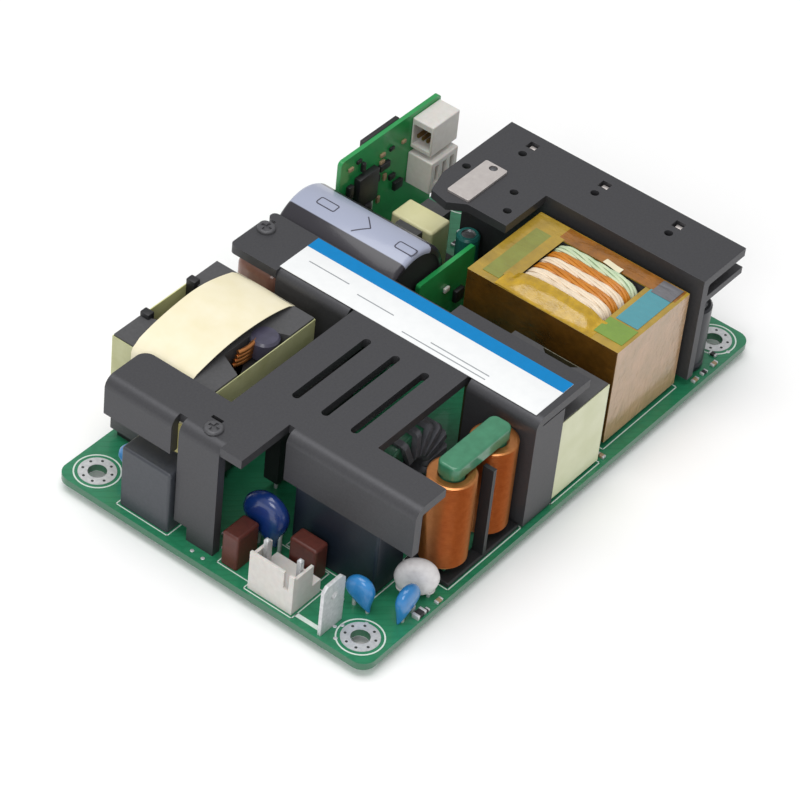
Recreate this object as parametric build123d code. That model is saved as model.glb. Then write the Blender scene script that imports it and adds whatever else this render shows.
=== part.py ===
from build123d import *
import math
import os

# Open-frame switching power supply. Millimetres, +Z up, +X from the mains edge to the output edge.
# Heights named "..._height" or "..._top" are measured from the top face of the main board.

# Main board and its mounting holes
board_length = 127.0
board_width = 76.2
board_thickness = 1.6
board_corner = 3.0
hole_inset = 5.715
hole_bore = 3.8
pad_diameter = 7.6
pad_thickness = 0.1
lead_drop = 2.0
joint_diameter = 2.2
lead_diameter = 0.8

# Primary heatsink, folded from one sheet
sink_top = 27.5
sheet = 2.0
bend = 2.4
sink_front_gap = 3.1
sink_side_gap = 8.9
web_from_middle = 14.2
notch_from_middle = 7.95
flange_slot = 1.8
leg_width = 9.7
leg_notch = 3.2
nose_length = 5.1
step_gap = 0.4
step_lift = 0.5
step_relief = 1.4
flange_lift = 4.0
arm_width = 8.7
arm_end_gap = 2.5
choke_bay = 18.4
strip_width = 16.9
strip_neck = 13.7
neck_length = 44.0
strip_end_gap = 1.0
strip_side_gap = 0.1
web_lift = 0.6
end_strip_width = 9.2
left_web_gap = 11.8
web_relief = 0.8
cooling_slots = 3
cooling_edge = 6.05
cooling_notch_gap = 7.6
cooling_web_gap = 3.4
cooling_slot_length = 22.6
cooling_slot_width = 1.7
head_diameter = 3.8
head_height = 0.7
screw_diameter = 2.4
screw_length = 3.0
slit_length = 2.6
slit_width = 0.8
slit_offset = 2.2
leg_screw_side = 4.2
strip_screw_x = 8.4
strip_screw_side = 2.3
film_thickness = 0.4
film_overlap = 0.9

# Label on the strip
label_margin = 1.4
label_edge = 0.4
label_length = 62.2
label_thickness = 0.15

# Output heatsink, one extrusion with an arm
out_from_rear = 21.9
out_depth = 14.6
out_length = 58.4
out_side_gap = 1.5
out_wall = 2.0
out_fin = 1.6
out_fin_gap = 2.8
out_foot = 1.8
foot_width = 3.0
foot_end = 7.0
arm_reach = 15.8
arm_length = 19.6
arm_nose = 7.2
arm_cheek = 6.4
arm_waist = 9.9
arm_notch = 2.4
arm_corner = 1.0
arm_shoulder = 1.9
out_slots = 3
out_slot_edge = 3.5
out_slot_start = 8.0
out_slot_pitch = 18.2
out_slot_size = 2.2
pin_hole = 1.8
clamp_length = 13.2
clamp_width = 5.5
clamp_thickness = 0.6
clamp_side = 4.3
clamp_over = 0.2
clamp_rivet = 1.3

# Screwed transistor cases, and the diode bridge beside the notch
package_width = 10.0
package_body = 9.0
package_depth = 4.5
package_tab = 1.3
package_height = 15.6
package_tab_start = 3.0
package_hole = 3.6
package_hole_drop = 2.8
package_lift = 4.0
package_top_gap = 2.5
package_leg_pitch = 2.54
package_leg_depth = 2.6
package_leg_width = 0.8
package_leg_thickness = 0.6
package_head = 5.4
package_head_height = 2.0
package_shank = 3.0
bridge_front_gap = 0.6
bridge_rear_gap = 3.4
bridge_thickness = 3.4
bridge_notch_gap = 5.0
bridge_bottom = 3.0
bridge_top = 21.0
bridge_corner = 2.0
bridge_hole = 3.2
bridge_hole_drop = 4.0
bridge_legs = 4
bridge_leg_end = 2.0

# Input choke of the boost stage, an upright pot-like core
boost_length = 30.0
boost_notch_gap = 5.2
boost_side_gap = 0.05
boost_height = 25.9
boost_base = 2.0
boost_plate = 4.0
boost_window_wall = 0.4
boost_coil_room = 5.3
boost_turns = 9
boost_waist = 14.0
boost_notch = 4.2
tape = 0.25
boost_tape_width = 14.3
boost_tape_stop = 6.0
boost_side_tape = 15.0
boost_side_tape_drop = 0.4
boost_web_gap = 3.7
reel_gap = 0.1
reel_wall = 0.8
coil_gap = 0.4
foot_inset = 1.0
foot_row = 5.0
foot_joint = 4.0

# Main transformer, its core lying with the axis along X
trafo_height = 24.3
trafo_base = 1.0
trafo_plate = 3.9
trafo_post = 11.0
trafo_window_gap = 1.8
trafo_bundles = 8
trafo_bundle_room = 1.8
trafo_bundle_depth = 1.8
trafo_inset = 3.5
trafo_res_gap = 4.6
trafo_out_gap = 2.0
trafo_feedback_gap = 5.8
trafo_tape_stop = 1.2
trafo_pins = 5
patch_edge = 1.0
patch_gap = 4.0

# Resonant choke under the label strip
res_length = 15.0
res_width = 22.4
res_height = 20.8
res_gap = 0.5
res_base = 0.8
res_plate = 3.4
res_coil = 8.0
res_waist = 9.0
res_notch = 1.6
res_turns = 8

# Bulk capacitor, lying along Y, and the film capacitor under it
bulk_diameter = 20.0
bulk_length = 28.4
bulk_rim = 1.3
bulk_side_gap = 0.2
bulk_groove = 0.6
bulk_groove_start = 2.6
bulk_groove_width = 1.8
bulk_drop = 6.35
bulk_lead_pitch = 10.0
bulk_lead_reach = 0.5
film_clearance = 0.35
res_cap_width = 14.0
res_cap_length = 21.0
res_cap_start = 3.0
box_edge = 0.6
film_web_gap = 1.2
film_width = 8.0
part_gap = 0.3

# Upright boards
daughter_thickness = 1.0
control_from_rear = 13.07
control_side_gap = 1.1
control_height = 30.2
control_corner = 1.0
control_pins = 6
control_pin_pitch = 5.0
sense_length = 9.0
sense_depth = 5.4
sense_height = 7.4
sense_wall = 0.9
sense_pocket = 6.0
sense_edge = 0.4
fan_height = 7.8
fan_gap = 1.2
fan_slot = 1.2
fan_slot_pitch = 2.5
feedback_length = 18.2
feedback_height = 21.0
feedback_bulk_gap = 1.2

# Stand-by transformer in front of the control board
standby_length = 12.6
standby_depth = 5.8
standby_coil_length = 6.4
standby_coil_depth = 10.6
standby_base = 2.6
standby_core_base = 3.0
standby_core_top = 13.4
standby_coil_top = 14.0
standby_window = 2.4
standby_limb = 5.0
standby_plate = 2.2
standby_out_gap = 8.8
standby_control_gap = 10.3
small_cap_standby_gap = 8.5
small_cap_out_gap = 3.4

# Line choke with two copper coils
line_coil_height = 20.9
line_coil_base = 2.5
line_coil_diameter = 9.6
line_limb = 5.0
line_web_gap = 0.15
line_wall_share = 0.22
line_foot = 1.0
line_bar_height = 2.9
line_turns = 15
line_from_right = 6.9

# Second choke, a ring standing on its rim
ring_diameter = 18.4
ring_bore = 9.0
ring_width = 6.4
ring_turns = 14
ring_wire = 1.3
ring_arc = 320.0
ring_seat = 0.2
ring_bay_gap = 5.2

# Mains parts at the front edge
header_pin_side = 1.34
header_depth = 8.5
header_height = 9.5
header_wall = 0.7
header_floor = 3.4
header_end = 8.7
header_open = 2.6
header_pitch = 7.92
header_pin = 1.0
header_pin_height = 11.3
header_pin_offset = 0.9
header_key = 1.2
header_key_depth = 4.0
header_from_front = 1.2
header_from_right = 18.6
tab_from_front = 0.7
tab_from_right = 11.2
tab_corner = 1.0
tab_hole_drop = 3.6
tab_width = 6.35
tab_height = 12.0
tab_thickness = 0.8
tab_hole = 1.6
fuse_length = 6.4
fuse_width = 3.9
fuse_height = 8.2
fuse_header_gap = 0.6
fuse_leg_gap = 2.0
fuse_overhang = 0.1
fuse_varistor_gap = 5.9
varistor_diameter = 12.4
varistor_thickness = 3.8
varistor_height = 11.4
varistor_step_gap = 2.5
varistor_header_gap = 3.85
varistor_lead_pitch = 5.0
x_left_leg_gap = 0.5
x_left_side_gap = 14.65
x_left_overhang = 1.2
x_left_width = 6.2
x_left_height = 14.8
x_front_nose_gap = 3.6
x_front_side_gap = 10.65
x_front_step_gap = 0.9
x_front_share = 0.625
x_front_height = 15.7
disc_diameter = 6.2
disc_thickness = 2.6
disc_lead_pitch = 3.2
disc_turn = 20
thermistor_diameter = 9.0
thermistor_thickness = 3.6
thermistor_height = 5.6
thermistor_turn = 34
thermistor_lead_pitch = 5.04
thermistor_shift = 0.6
thermistor_from_right = 5.2
lead_sink = 0.25
dip_edge = 0.42

# Output parts
out_header_pins = 6
out_header_pitch = 3.96
out_header_end = 2.3
out_header_from_rear = 0.8
out_header_start = 22.0
out_cap_diameter = 7.8
out_cap_gap = 5.1
out_cap_lead_pitch = 3.5
small_cap_diameter = 5.0
small_cap_height = 11.0

# Places that follow from the sizes above
board_top = lead_drop + board_thickness
front_x = -board_length / 2
rear_x = board_length / 2
right_y = -board_width / 2
left_y = board_width / 2
hole_x = board_length - 2 * hole_inset
hole_y = board_width - 2 * hole_inset
header_x0 = front_x + header_from_front
header_x1 = header_x0 + header_depth
header_y0 = right_y + header_from_right
header_y1 = header_y0 + header_pitch + 2 * header_pin_side
header_x = (header_x0 + header_x1) / 2 - header_pin_offset
header_y = (header_y0 + header_y1) / 2
sheet_under = sink_top - sheet
sink_x = front_x + sink_front_gap
plate_x = sink_x + bend
sink_far_y = left_y - sink_side_gap
step_x = header_x1 + fuse_header_gap + fuse_width + step_gap
arm_x = step_x + arm_width
arm_y = right_y + arm_end_gap
bay_y = right_y + choke_bay
web_x = -web_from_middle
notch_y = notch_from_middle
boost_x1 = web_x - boost_web_gap - 2 * tape
boost_x0 = boost_x1 - boost_length
boost_y1 = left_y - 2 * tape - boost_side_gap
boost_y0 = notch_y + boost_notch_gap
boost_width = boost_y1 - boost_y0
boost_window = boost_width - 2 * boost_window_wall
boost_post = boost_window - 2 * boost_coil_room
boost_x = (boost_x0 + boost_x1) / 2
boost_y = (boost_y0 + boost_y1) / 2
flange_y0 = notch_y + 2 * bend
leg_y1 = flange_y0 - flange_slot
leg_y0 = leg_y1 - leg_width
nose_y = leg_y0 - nose_length
strip_y0 = right_y + strip_end_gap
strip_y1 = left_y - strip_side_gap
neck_x = web_x + strip_neck
neck_y = strip_y1 - neck_length
strip_x = web_x + strip_width
left_web_y1 = strip_y1 - left_web_gap
bulk_radius = bulk_diameter / 2
bulk_height = sheet_under - bulk_drop
bulk_reach = math.sqrt(bulk_radius ** 2 - bulk_drop ** 2)
bulk_x = neck_x + part_gap + bulk_reach
bulk_y1 = left_y - bulk_side_gap
bulk_y0 = bulk_y1 - bulk_length
control_x0 = bulk_x + bulk_radius + part_gap
control_x1 = rear_x - control_from_rear
control_y1 = left_y - control_side_gap
control_y0 = control_y1 - daughter_thickness
feedback_y1 = bulk_y0 - feedback_bulk_gap
feedback_y0 = feedback_y1 - daughter_thickness
feedback_x0 = bulk_x + part_gap
out_x = rear_x - out_from_rear
out_x1 = out_x + out_depth
out_y0 = right_y + out_side_gap
out_y1 = out_y0 + out_length
out_under = sink_top - out_wall
fin_top = out_under - out_fin_gap
fin_under = fin_top - out_fin
arm_x0 = out_x - arm_reach
arm_y0 = out_y1 - arm_length
res_x0 = web_x + end_strip_width + res_gap
res_y0 = strip_y0 + label_edge + tape
res_x1 = res_x0 + res_length + 2 * tape
trafo_x0 = res_x1 + trafo_res_gap
trafo_x1 = out_x - trafo_out_gap
trafo_length = trafo_x1 - trafo_x0
trafo_y0 = right_y + trafo_inset
trafo_y1 = feedback_y0 - trafo_feedback_gap
trafo_width = trafo_y1 - trafo_y0
trafo_x = (trafo_x0 + trafo_x1) / 2
trafo_y = (trafo_y0 + trafo_y1) / 2
trafo_z = (trafo_base + trafo_height) / 2
trafo_window = 2 * (trafo_z - trafo_window_gap)
trafo_leg = (trafo_width - trafo_window) / 2
trafo_room = trafo_length - 2 * trafo_plate
trafo_bundle = (trafo_room - trafo_bundle_room) / trafo_bundles
standby_x = out_x - standby_out_gap
standby_y = control_y0 - standby_control_gap
line_coil_radius = line_coil_diameter / 2
line_x1 = web_x - line_web_gap - line_coil_radius
x_front_x0 = step_x + x_front_step_gap
x_front_room = line_x1 - line_coil_radius - x_front_x0 - line_coil_diameter
x_front_x1 = x_front_x0 + x_front_share * x_front_room
line_x0 = line_x1 - line_coil_diameter - line_wall_share * x_front_room
line_y = right_y + line_from_right
line_top = line_coil_base + line_coil_height + ring_seat + line_bar_height
ring_x = (line_x0 + line_x1) / 2 - ring_seat
ring_y = bay_y + ring_bay_gap
varistor_x = step_x - varistor_step_gap
varistor_y = header_y1 + varistor_header_gap
thermistor_x = (step_x + line_x0 - line_coil_radius) / 2 + thermistor_shift
thermistor_y = right_y + thermistor_from_right
bridge_x0 = arm_x + bridge_front_gap
bridge_x1 = web_x - bridge_rear_gap
bridge_y0 = notch_y - bridge_notch_gap


def block(x0, x1, y0, y1, z0, z1):
    """A box between two corners, its heights measured from the board's top face."""
    size = (x1 - x0, y1 - y0, z1 - z0)
    middle = ((x0 + x1) / 2, (y0 + y1) / 2, board_top + (z0 + z1) / 2)
    return Pos(*middle) * Box(*size)


def rounded(x0, x1, y0, y1, z0, z1, radius):
    """A box with its top and upright edges rounded, as a moulded or dipped case has."""
    body = block(x0, x1, y0, y1, z0, z1)
    low = body.edges().group_by(Axis.Z)[0]
    return fillet(body.edges() - low, radius)


def rod(x, y, z0, z1, diameter):
    """An upright round bar."""
    return Pos(x, y, board_top + (z0 + z1) / 2) * Cylinder(diameter / 2, z1 - z0)


def rod_x(x0, x1, y, z, diameter):
    """A round bar along X."""
    return Pos((x0 + x1) / 2, y, board_top + z) * Rot(0, 90, 0) * Cylinder(diameter / 2, x1 - x0)


def rod_y(x, y0, y1, z, diameter):
    """A round bar along Y."""
    return Pos(x, (y0 + y1) / 2, board_top + z) * Rot(90, 0, 0) * Cylinder(diameter / 2, y1 - y0)


def outline(points):
    """A flat face inside a closed run of straight lines."""
    return make_face(Polyline(*points, close=True))


def group(solids):
    """Several like pieces kept in one node."""
    return Compound(children=list(solids))


def circuit_board():
    board = extrude(RectangleRounded(board_length, board_width, board_corner), board_thickness)
    holes = GridLocations(hole_x, hole_y, 2, 2) * Cylinder(hole_bore / 2, 4 * board_thickness)
    return Pos(0, 0, lead_drop) * (board - holes)


def mounting_pads():
    ring = Circle(pad_diameter / 2) - Circle(hole_bore / 2)
    spots = GridLocations(hole_x, hole_y, 2, 2).locations
    top = [Pos(0, 0, board_top) * spot * extrude(ring, pad_thickness) for spot in spots]
    low = [Pos(0, 0, lead_drop) * spot * extrude(ring, -pad_thickness) for spot in spots]
    return group(top + low)


def fold(face_x, y0, y1, bottom):
    """A flange bent down from the sheet: a quarter bend, then a straight drop to a given height."""
    corner = Plane(origin=(face_x, y1, board_top + sink_top), x_dir=(1, 0, 0), z_dir=(0, -1, 0))
    outer = CenterArc((bend, -bend), bend, 90, 90)
    inner = CenterArc((bend, -bend), bend - sheet, 90, 90)
    drop = bottom - sink_top
    edges = [
        outer,
        Line(outer @ 1, (0, drop)),
        Line((0, drop), (sheet, drop)),
        Line((sheet, drop), inner @ 1),
        inner,
        Line(inner @ 0, outer @ 0),
    ]
    return extrude(corner * make_face(edges), y1 - y0)


def primary_sheet_outline():
    """The flat top of the folded heatsink, without its bends."""
    return [
        (plate_x, sink_far_y),
        (plate_x, leg_y0),
        (sink_x + 0.2, leg_y0),
        (sink_x + 0.2, nose_y),
        (step_x + bend, nose_y),
        (step_x + bend, arm_y),
        (arm_x, arm_y),
        (arm_x, bay_y),
        (web_x + bend, bay_y),
        (web_x + bend, strip_y0),
        (strip_x, strip_y0),
        (strip_x, neck_y),
        (neck_x, neck_y),
        (neck_x, strip_y1),
        (web_x, strip_y1),
        (web_x, left_web_y1),
        (web_x + bend, left_web_y1),
        (web_x + bend, notch_y),
        (boost_x0 - 2 * tape - part_gap, notch_y),
        (boost_x0 - 2 * tape - part_gap, sink_far_y),
    ]


def front_screw_spots():
    """The two screws of the primary heatsink: on the leg's bend and at the strip's left end."""
    leg_spot = (sink_x + sheet + screw_diameter / 2 + 0.1, leg_y0 + leg_screw_side)
    return [leg_spot, (web_x + strip_screw_x, strip_y1 - strip_screw_side)]


def cooling_cuts():
    """The slots of the front plate, parallel to X, with round ends."""
    first_y = notch_y - cooling_notch_gap
    pitch = (first_y - bay_y - cooling_edge) / (cooling_slots - 1)
    middle_x = web_x - cooling_web_gap - cooling_slot_length / 2
    slot = extrude(SlotOverall(cooling_slot_length, cooling_slot_width), 3 * sheet, both=True)
    places = [(middle_x, first_y - n * pitch) for n in range(cooling_slots)]
    return [Pos(x, y, board_top + sink_top) * slot for x, y in places]


def primary_heatsink():
    plate = extrude(outline(primary_sheet_outline()), sheet)
    plate = Pos(0, 0, board_top + sheet_under) * plate
    corner = plate.edges().filter_by(Axis.Z).sort_by_distance((boost_x0, sink_far_y, board_top + sheet_under))[0]
    plate = fillet(corner, bend)
    front_flange = fold(sink_x, flange_y0, sink_far_y, x_left_height + flange_lift)
    leg = fold(sink_x, leg_y0, leg_y1, 0)
    step_flange = fold(step_x, arm_y, nose_y - step_relief, x_front_height + step_lift)
    right_web = fold(web_x, strip_y0, bay_y - web_relief, web_lift)
    left_web = fold(web_x, notch_y + web_relief, left_web_y1, web_lift)
    leg -= block(sink_x - 1, sink_x + sheet + 1, leg_y1 - leg_notch, leg_y1 + 1, -1, leg_notch)
    end_top = sheet_under - part_gap
    end_strip = block(web_x, web_x + end_strip_width, strip_y0, strip_y0 + sheet, web_lift, end_top)
    body = plate + front_flange + leg + step_flange + right_web + left_web + end_strip
    for cut in cooling_cuts():
        body -= cut
    for x, y in front_screw_spots():
        body -= rod(x, y, sheet_under - 1, sink_top + 1, screw_diameter + 0.2)
        slit_x = x + slit_offset
        body -= block(slit_x, slit_x + slit_width, y, y + slit_length, sheet_under - 1, sink_top + 1)
    return body


def pan_screw(x, y, top):
    """A pan-head screw with a cross recess, hanging through a plate whose upper face is at top."""
    head = rod(x, y, top, top + head_height, head_diameter)
    head = fillet(head.edges().group_by(Axis.Z)[-1], head_height * 0.7)
    shank = rod(x, y, top - screw_length, top, screw_diameter)
    recess_z = top + head_height * 0.45
    for turn in (0, 90):
        recess = Rot(0, 0, turn) * Box(head_diameter * 0.62, head_diameter * 0.16, head_height)
        head -= Pos(x, y, board_top + recess_z + head_height / 2) * recess
    return head + shank


def heatsink_screws():
    return group(pan_screw(x, y, sink_top) for x, y in front_screw_spots())


def insulation_sheet():
    x0 = sink_x + sheet
    low = x_left_height + flange_lift - film_overlap
    y0 = leg_y1 - film_overlap
    return block(x0, x0 + film_thickness, y0, sink_far_y - part_gap, low, sheet_under - film_thickness)


def rating_label():
    x0 = web_x + label_margin
    y0 = strip_y0 + label_margin
    return block(x0, neck_x - label_edge, y0, y0 + label_length, sink_top, sink_top + label_thickness)


def output_top_outline():
    """Seen from above: the long plate, and the arm that reaches towards the mains side."""
    return [
        (out_x, out_y0),
        (out_x1, out_y0),
        (out_x1, out_y1),
        (arm_x0 + arm_nose, out_y1),
        (arm_x0 + arm_corner, out_y1 - arm_shoulder),
        (arm_x0, out_y1 - arm_cheek),
        (arm_x0 + arm_notch, out_y1 - arm_waist),
        (arm_x0 + arm_notch, arm_y0),
        (out_x, arm_y0),
    ]


def output_slot_spots():
    """Places of the rectangular slots near the outer edge of the output heatsink."""
    x = out_x1 - out_slot_edge
    first_y = out_y1 - out_slot_start
    return [(x, first_y - n * out_slot_pitch) for n in range(out_slots)]


def output_arm_holes():
    """Round holes in the arm: two near its free edge, and one at the far end of the clamp plate."""
    clamp_x = out_x - clamp_length
    low_y = out_y1 - clamp_side - clamp_width
    near = (out_x - clamp_rivet - arm_notch, low_y - 2.5 * pin_hole)
    far = (clamp_x + pin_hole * 2.1, arm_y0 + 1.5 * pin_hole)
    return [far, near, (near[0], out_y1 - 1.25 * pin_hole)]


def output_heatsink():
    top = Pos(0, 0, board_top + out_under) * extrude(outline(output_top_outline()), out_wall)
    web = block(out_x, out_x + out_wall, out_y0, out_y1, out_foot, out_under)
    fin = block(out_x + out_wall, out_x1, out_y0, out_y1, fin_under, fin_top)
    body = top + web + fin
    root = body.edges().filter_by(Axis.Y).sort_by_distance((out_x + out_wall, out_y0, board_top + out_under))[0]
    body = fillet(root, out_wall * 0.4)
    for y in (out_y0 + foot_end, (out_y0 + out_y1) / 2, out_y1 - foot_end):
        body += block(out_x, out_x + out_wall, y - foot_width / 2, y + foot_width / 2, 0, out_foot)
    for x, y in output_slot_spots():
        half = out_slot_size / 2
        body -= block(x - half, x + half, y - half, y + half, out_under - 1, sink_top + 1)
        body -= rod(x - out_slot_edge, y, out_under - 1, sink_top + 1, pin_hole)
    for x, y in output_arm_holes():
        body -= rod(x, y, out_under - 1, sink_top + 1, pin_hole)
    return body


def output_clamp_plate():
    x1 = out_x + clamp_over
    y1 = out_y1 - clamp_side
    plate = block(x1 - clamp_length, x1, y1 - clamp_width, y1, sink_top, sink_top + clamp_thickness)
    plate = fillet(plate.edges().filter_by(Axis.Z), clamp_width * 0.09)
    return plate - rod(x1 - clamp_rivet, y1 - clamp_width / 2, sink_top - 1, sink_top + 2, pin_hole)


def power_package(face_x, y, bottom, side):
    """A transistor case against a wall: metal tab with its hole, and the moulded body on the tab."""
    half = package_width / 2
    tab_x = face_x + side * package_tab
    case_x = face_x + side * package_depth
    hole_z = bottom + package_height - package_hole_drop
    tab_low = bottom + package_tab_start
    tab = block(min(face_x, tab_x), max(face_x, tab_x), y - half, y + half, tab_low, bottom + package_height)
    tab -= rod_x(face_x - package_tab * 2, face_x + package_tab * 2, y, hole_z, package_hole)
    case = block(min(face_x, case_x), max(face_x, case_x), y - half, y + half, bottom, bottom + package_body)
    case = fillet(case.edges().filter_by(Axis.Z), package_depth * 0.09)
    return tab + case


def package_legs(face_x, y, bottom, side):
    """Three legs from the case down to the board."""
    x = face_x + side * package_leg_depth
    deep = package_leg_thickness / 2
    wide = package_leg_width / 2
    spots = [y + n * package_leg_pitch for n in (-1, 0, 1)]
    return [block(x - deep, x + deep, spot - wide, spot + wide, 0, bottom) for spot in spots]


def package_screw(face_x, y, bottom, side):
    """The screw that holds a case to its wall: round head on the tab, shank through the tab's hole."""
    seat = face_x + side * package_tab
    crown = seat + side * package_head_height
    z = bottom + package_height - package_hole_drop
    head = rod_x(min(seat, crown), max(seat, crown), y, z, package_head)
    shank = rod_x(min(face_x, seat), max(face_x, seat), y, z, package_shank)
    return head + shank


def package_places():
    """Wall face, place along Y, height and facing side of every screwed transistor case."""
    inner = web_x + sheet
    outer = out_x + out_wall
    outer_lift = fin_under - package_top_gap - package_height
    rear = [(outer, y, outer_lift, 1) for x, y in output_slot_spots()]
    right = (inner, (strip_y0 + bay_y) / 2, package_lift, 1)
    left = (inner, (notch_y + left_web_y1) / 2, package_lift, 1)
    return [right, left] + rear


def switching_transistors():
    return group(power_package(*place) for place in package_places()[:2])


def output_rectifiers():
    return group(power_package(*place) for place in package_places()[2:])


def package_screws():
    return group(package_screw(*place) for place in package_places())


def bridge_rectifier():
    y1 = bridge_y0 + bridge_thickness
    body = block(bridge_x0, bridge_x1, bridge_y0, y1, bridge_bottom, bridge_top)
    edge = body.edges().filter_by(Axis.Y).sort_by(Axis.Z)[-1]
    body = chamfer(edge, bridge_corner)
    hole_x_middle = (bridge_x0 + bridge_x1) / 2
    return body - rod_y(hole_x_middle, bridge_y0 - 1, y1 + 1, bridge_top - bridge_hole_drop, bridge_hole)


def pot_core(length, width, low, high, plate, post, window, waist, notch):
    """An upright wound core: round centre post, curved outer legs at the two X ends, narrow-waisted
    top and bottom plates. It is given centred on the origin in X and Y and built as two halves."""
    half_length = length / 2
    half_width = width / 2
    inner = waist / 2 - 1.8
    points = [
        (half_length, half_width),
        (waist / 2, half_width),
        (inner, half_width - notch),
        (-inner, half_width - notch),
        (-waist / 2, half_width),
        (-half_length, half_width),
        (-half_length, -half_width),
        (-waist / 2, -half_width),
        (-inner, notch - half_width),
        (inner, notch - half_width),
        (waist / 2, -half_width),
        (half_length, -half_width),
    ]
    core = extrude(outline(points), high - low)
    room_height = high - low - 2 * plate
    room = Cylinder(window / 2, room_height) + Box(waist + 1.0, width + 2, room_height)
    room -= Cylinder(post / 2, room_height)
    core -= Pos(0, 0, (high - low) / 2) * room
    middle = Plane.XY.offset((high - low) / 2)
    return Pos(0, 0, board_top + low) * split(core, middle, keep=Keep.BOTH)


def pot_winding(low, high, inner, outer, turns):
    """Wire wound in turns round an upright tube, each turn showing as a rounded ridge."""
    pitch = (high - low) / turns
    points = [(inner, low)]
    for n in range(turns):
        points.append((outer - pitch * 0.3, low + n * pitch))
        points.append((outer, low + (n + 0.5) * pitch))
    points.append((outer - pitch * 0.3, high))
    points.append((inner, high))
    profile = Plane.XZ * outline(points)
    return Pos(0, 0, board_top) * revolve(profile, Axis.Z)


def spool(low, high, inner, outer, flange, wall):
    """A bobbin: a tube with a round flange at each end."""
    tube = Cylinder(inner / 2 + wall, high - low) - Cylinder(inner / 2, high - low)
    disc = Cylinder(outer / 2, flange) - Cylinder(inner / 2, flange)
    shift = (high - low - flange) / 2
    body = tube + Pos(0, 0, shift) * disc + Pos(0, 0, -shift) * disc
    return Pos(0, 0, board_top + (low + high) / 2) * body


def base_slab(x0, x1, y0, y1, z0, z1, legs):
    """The moulded foot of a wound part, hollowed by a channel between its two rows of pins."""
    foot = block(x0, x1, y0, y1, z0, z1)
    channel = block(x0 + legs, x1 - legs, y0 - 1, y1 + 1, z0 - 1, z0 + (z1 - z0) * 0.5)
    return foot - channel


def boost_core():
    core = pot_core(
        boost_length,
        boost_width,
        boost_base,
        boost_height,
        boost_plate,
        boost_post,
        boost_window,
        boost_waist,
        boost_notch,
    )
    return Pos(boost_x, boost_y, 0) * core


def boost_bobbin():
    low = boost_base + boost_plate + reel_gap
    high = boost_height - boost_plate - reel_gap
    reel = spool(low, high, boost_post + 2 * reel_gap, boost_window - coil_gap, reel_wall, reel_wall)
    x0 = boost_x0 + foot_inset
    y0 = boost_y0 + foot_inset
    foot = base_slab(x0, boost_x1 - foot_inset, y0, boost_y1 - foot_inset, 0, boost_base, foot_row)
    return group([Pos(boost_x, boost_y, 0) * reel, foot])


def boost_winding():
    shift = boost_plate + 2 * reel_gap + reel_wall
    inner = boost_post / 2 + 2 * reel_gap + reel_wall
    coil = pot_winding(boost_base + shift, boost_height - shift, inner, boost_window / 2 - coil_gap, boost_turns)
    return Pos(boost_x, boost_y, 0) * coil


def boost_side_tape_band():
    ring = Rectangle(boost_length + 2 * tape, boost_width + 2 * tape) - Rectangle(boost_length, boost_width)
    band = extrude(ring, boost_side_tape)
    low = boost_height - boost_side_tape_drop - boost_side_tape
    return Pos(boost_x, boost_y, board_top + low) * band


def boost_top_tape():
    """A strip laid over the core's top along X and pasted down its two ends."""
    half = boost_length / 2 + tape
    depth = boost_height - boost_tape_stop
    outer = RectangleRounded(2 * (half + tape), 2 * depth, tape)
    inner = Rectangle(2 * half, 2 * (depth - tape))
    keep = Pos(0, depth / 2) * Rectangle(4 * half, depth)
    side = Plane(origin=(boost_x, boost_y + boost_tape_width / 2, 0), x_dir=(1, 0, 0), z_dir=(0, -1, 0))
    strip = extrude(side * ((outer - inner) & keep), boost_tape_width)
    return Pos(0, 0, board_top + boost_height + tape - depth) * strip


def lay_on_side(shape):
    """Turns an upright wound part so that its axis lies along X."""
    return Rot(0, 90, 0) * shape


def trafo_place(shape):
    return Pos(trafo_x, trafo_y, board_top + trafo_z) * shape


def transformer_core():
    deep = trafo_height - trafo_base
    core = Box(trafo_length, trafo_width, deep)
    room = Box(trafo_room, trafo_window, deep + 2)
    room -= lay_on_side(Cylinder(trafo_post / 2, trafo_room))
    core -= room
    halves = split(core, Plane.YZ, keep=Keep.BOTH)
    return trafo_place(halves)


def transformer_bobbin():
    long = trafo_room - 2 * reel_gap
    outer = trafo_window / 2 - part_gap
    bore = trafo_post / 2 + reel_gap
    tube = Cylinder(bore + reel_wall, long) - Cylinder(bore, long)
    disc = Cylinder(outer, reel_wall) - Cylinder(bore, reel_wall)
    shift = (long - reel_wall) / 2
    reel = lay_on_side(tube + Pos(0, 0, shift) * disc + Pos(0, 0, -shift) * disc)
    x0 = trafo_x0 + foot_inset
    y0 = trafo_y0 + foot_inset
    foot = base_slab(x0, trafo_x1 - foot_inset, y0, trafo_y1 - foot_inset, 0, trafo_base, foot_row)
    return group([trafo_place(reel), foot])


def transformer_primary():
    long = trafo_room - 2 * (2 * reel_gap + reel_wall)
    bore = trafo_post / 2 + 2 * reel_gap + reel_wall
    outer = trafo_window / 2 - coil_gap - trafo_bundle_depth - reel_gap
    coil = lay_on_side(Cylinder(outer, long) - Cylinder(bore, long))
    return trafo_place(coil)


def transformer_bundle(n):
    """One flat bundle of stranded wire, laid round the primary."""
    outer = trafo_window / 2 - coil_gap
    inner = outer - trafo_bundle_depth
    ring = Cylinder(outer, trafo_bundle) - Cylinder(inner, trafo_bundle)
    crown = ring.edges().filter_by(GeomType.CIRCLE).group_by(SortBy.RADIUS)[-1]
    ring = fillet(crown, trafo_bundle * 0.4)
    first = -(trafo_bundles - 1) / 2
    return trafo_place(Pos((first + n) * trafo_bundle, 0, 0) * lay_on_side(ring))


def transformer_white_secondary():
    return group(transformer_bundle(n) for n in range(0, trafo_bundles, 2))


def transformer_orange_secondary():
    return group(transformer_bundle(n) for n in range(1, trafo_bundles, 2))


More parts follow.
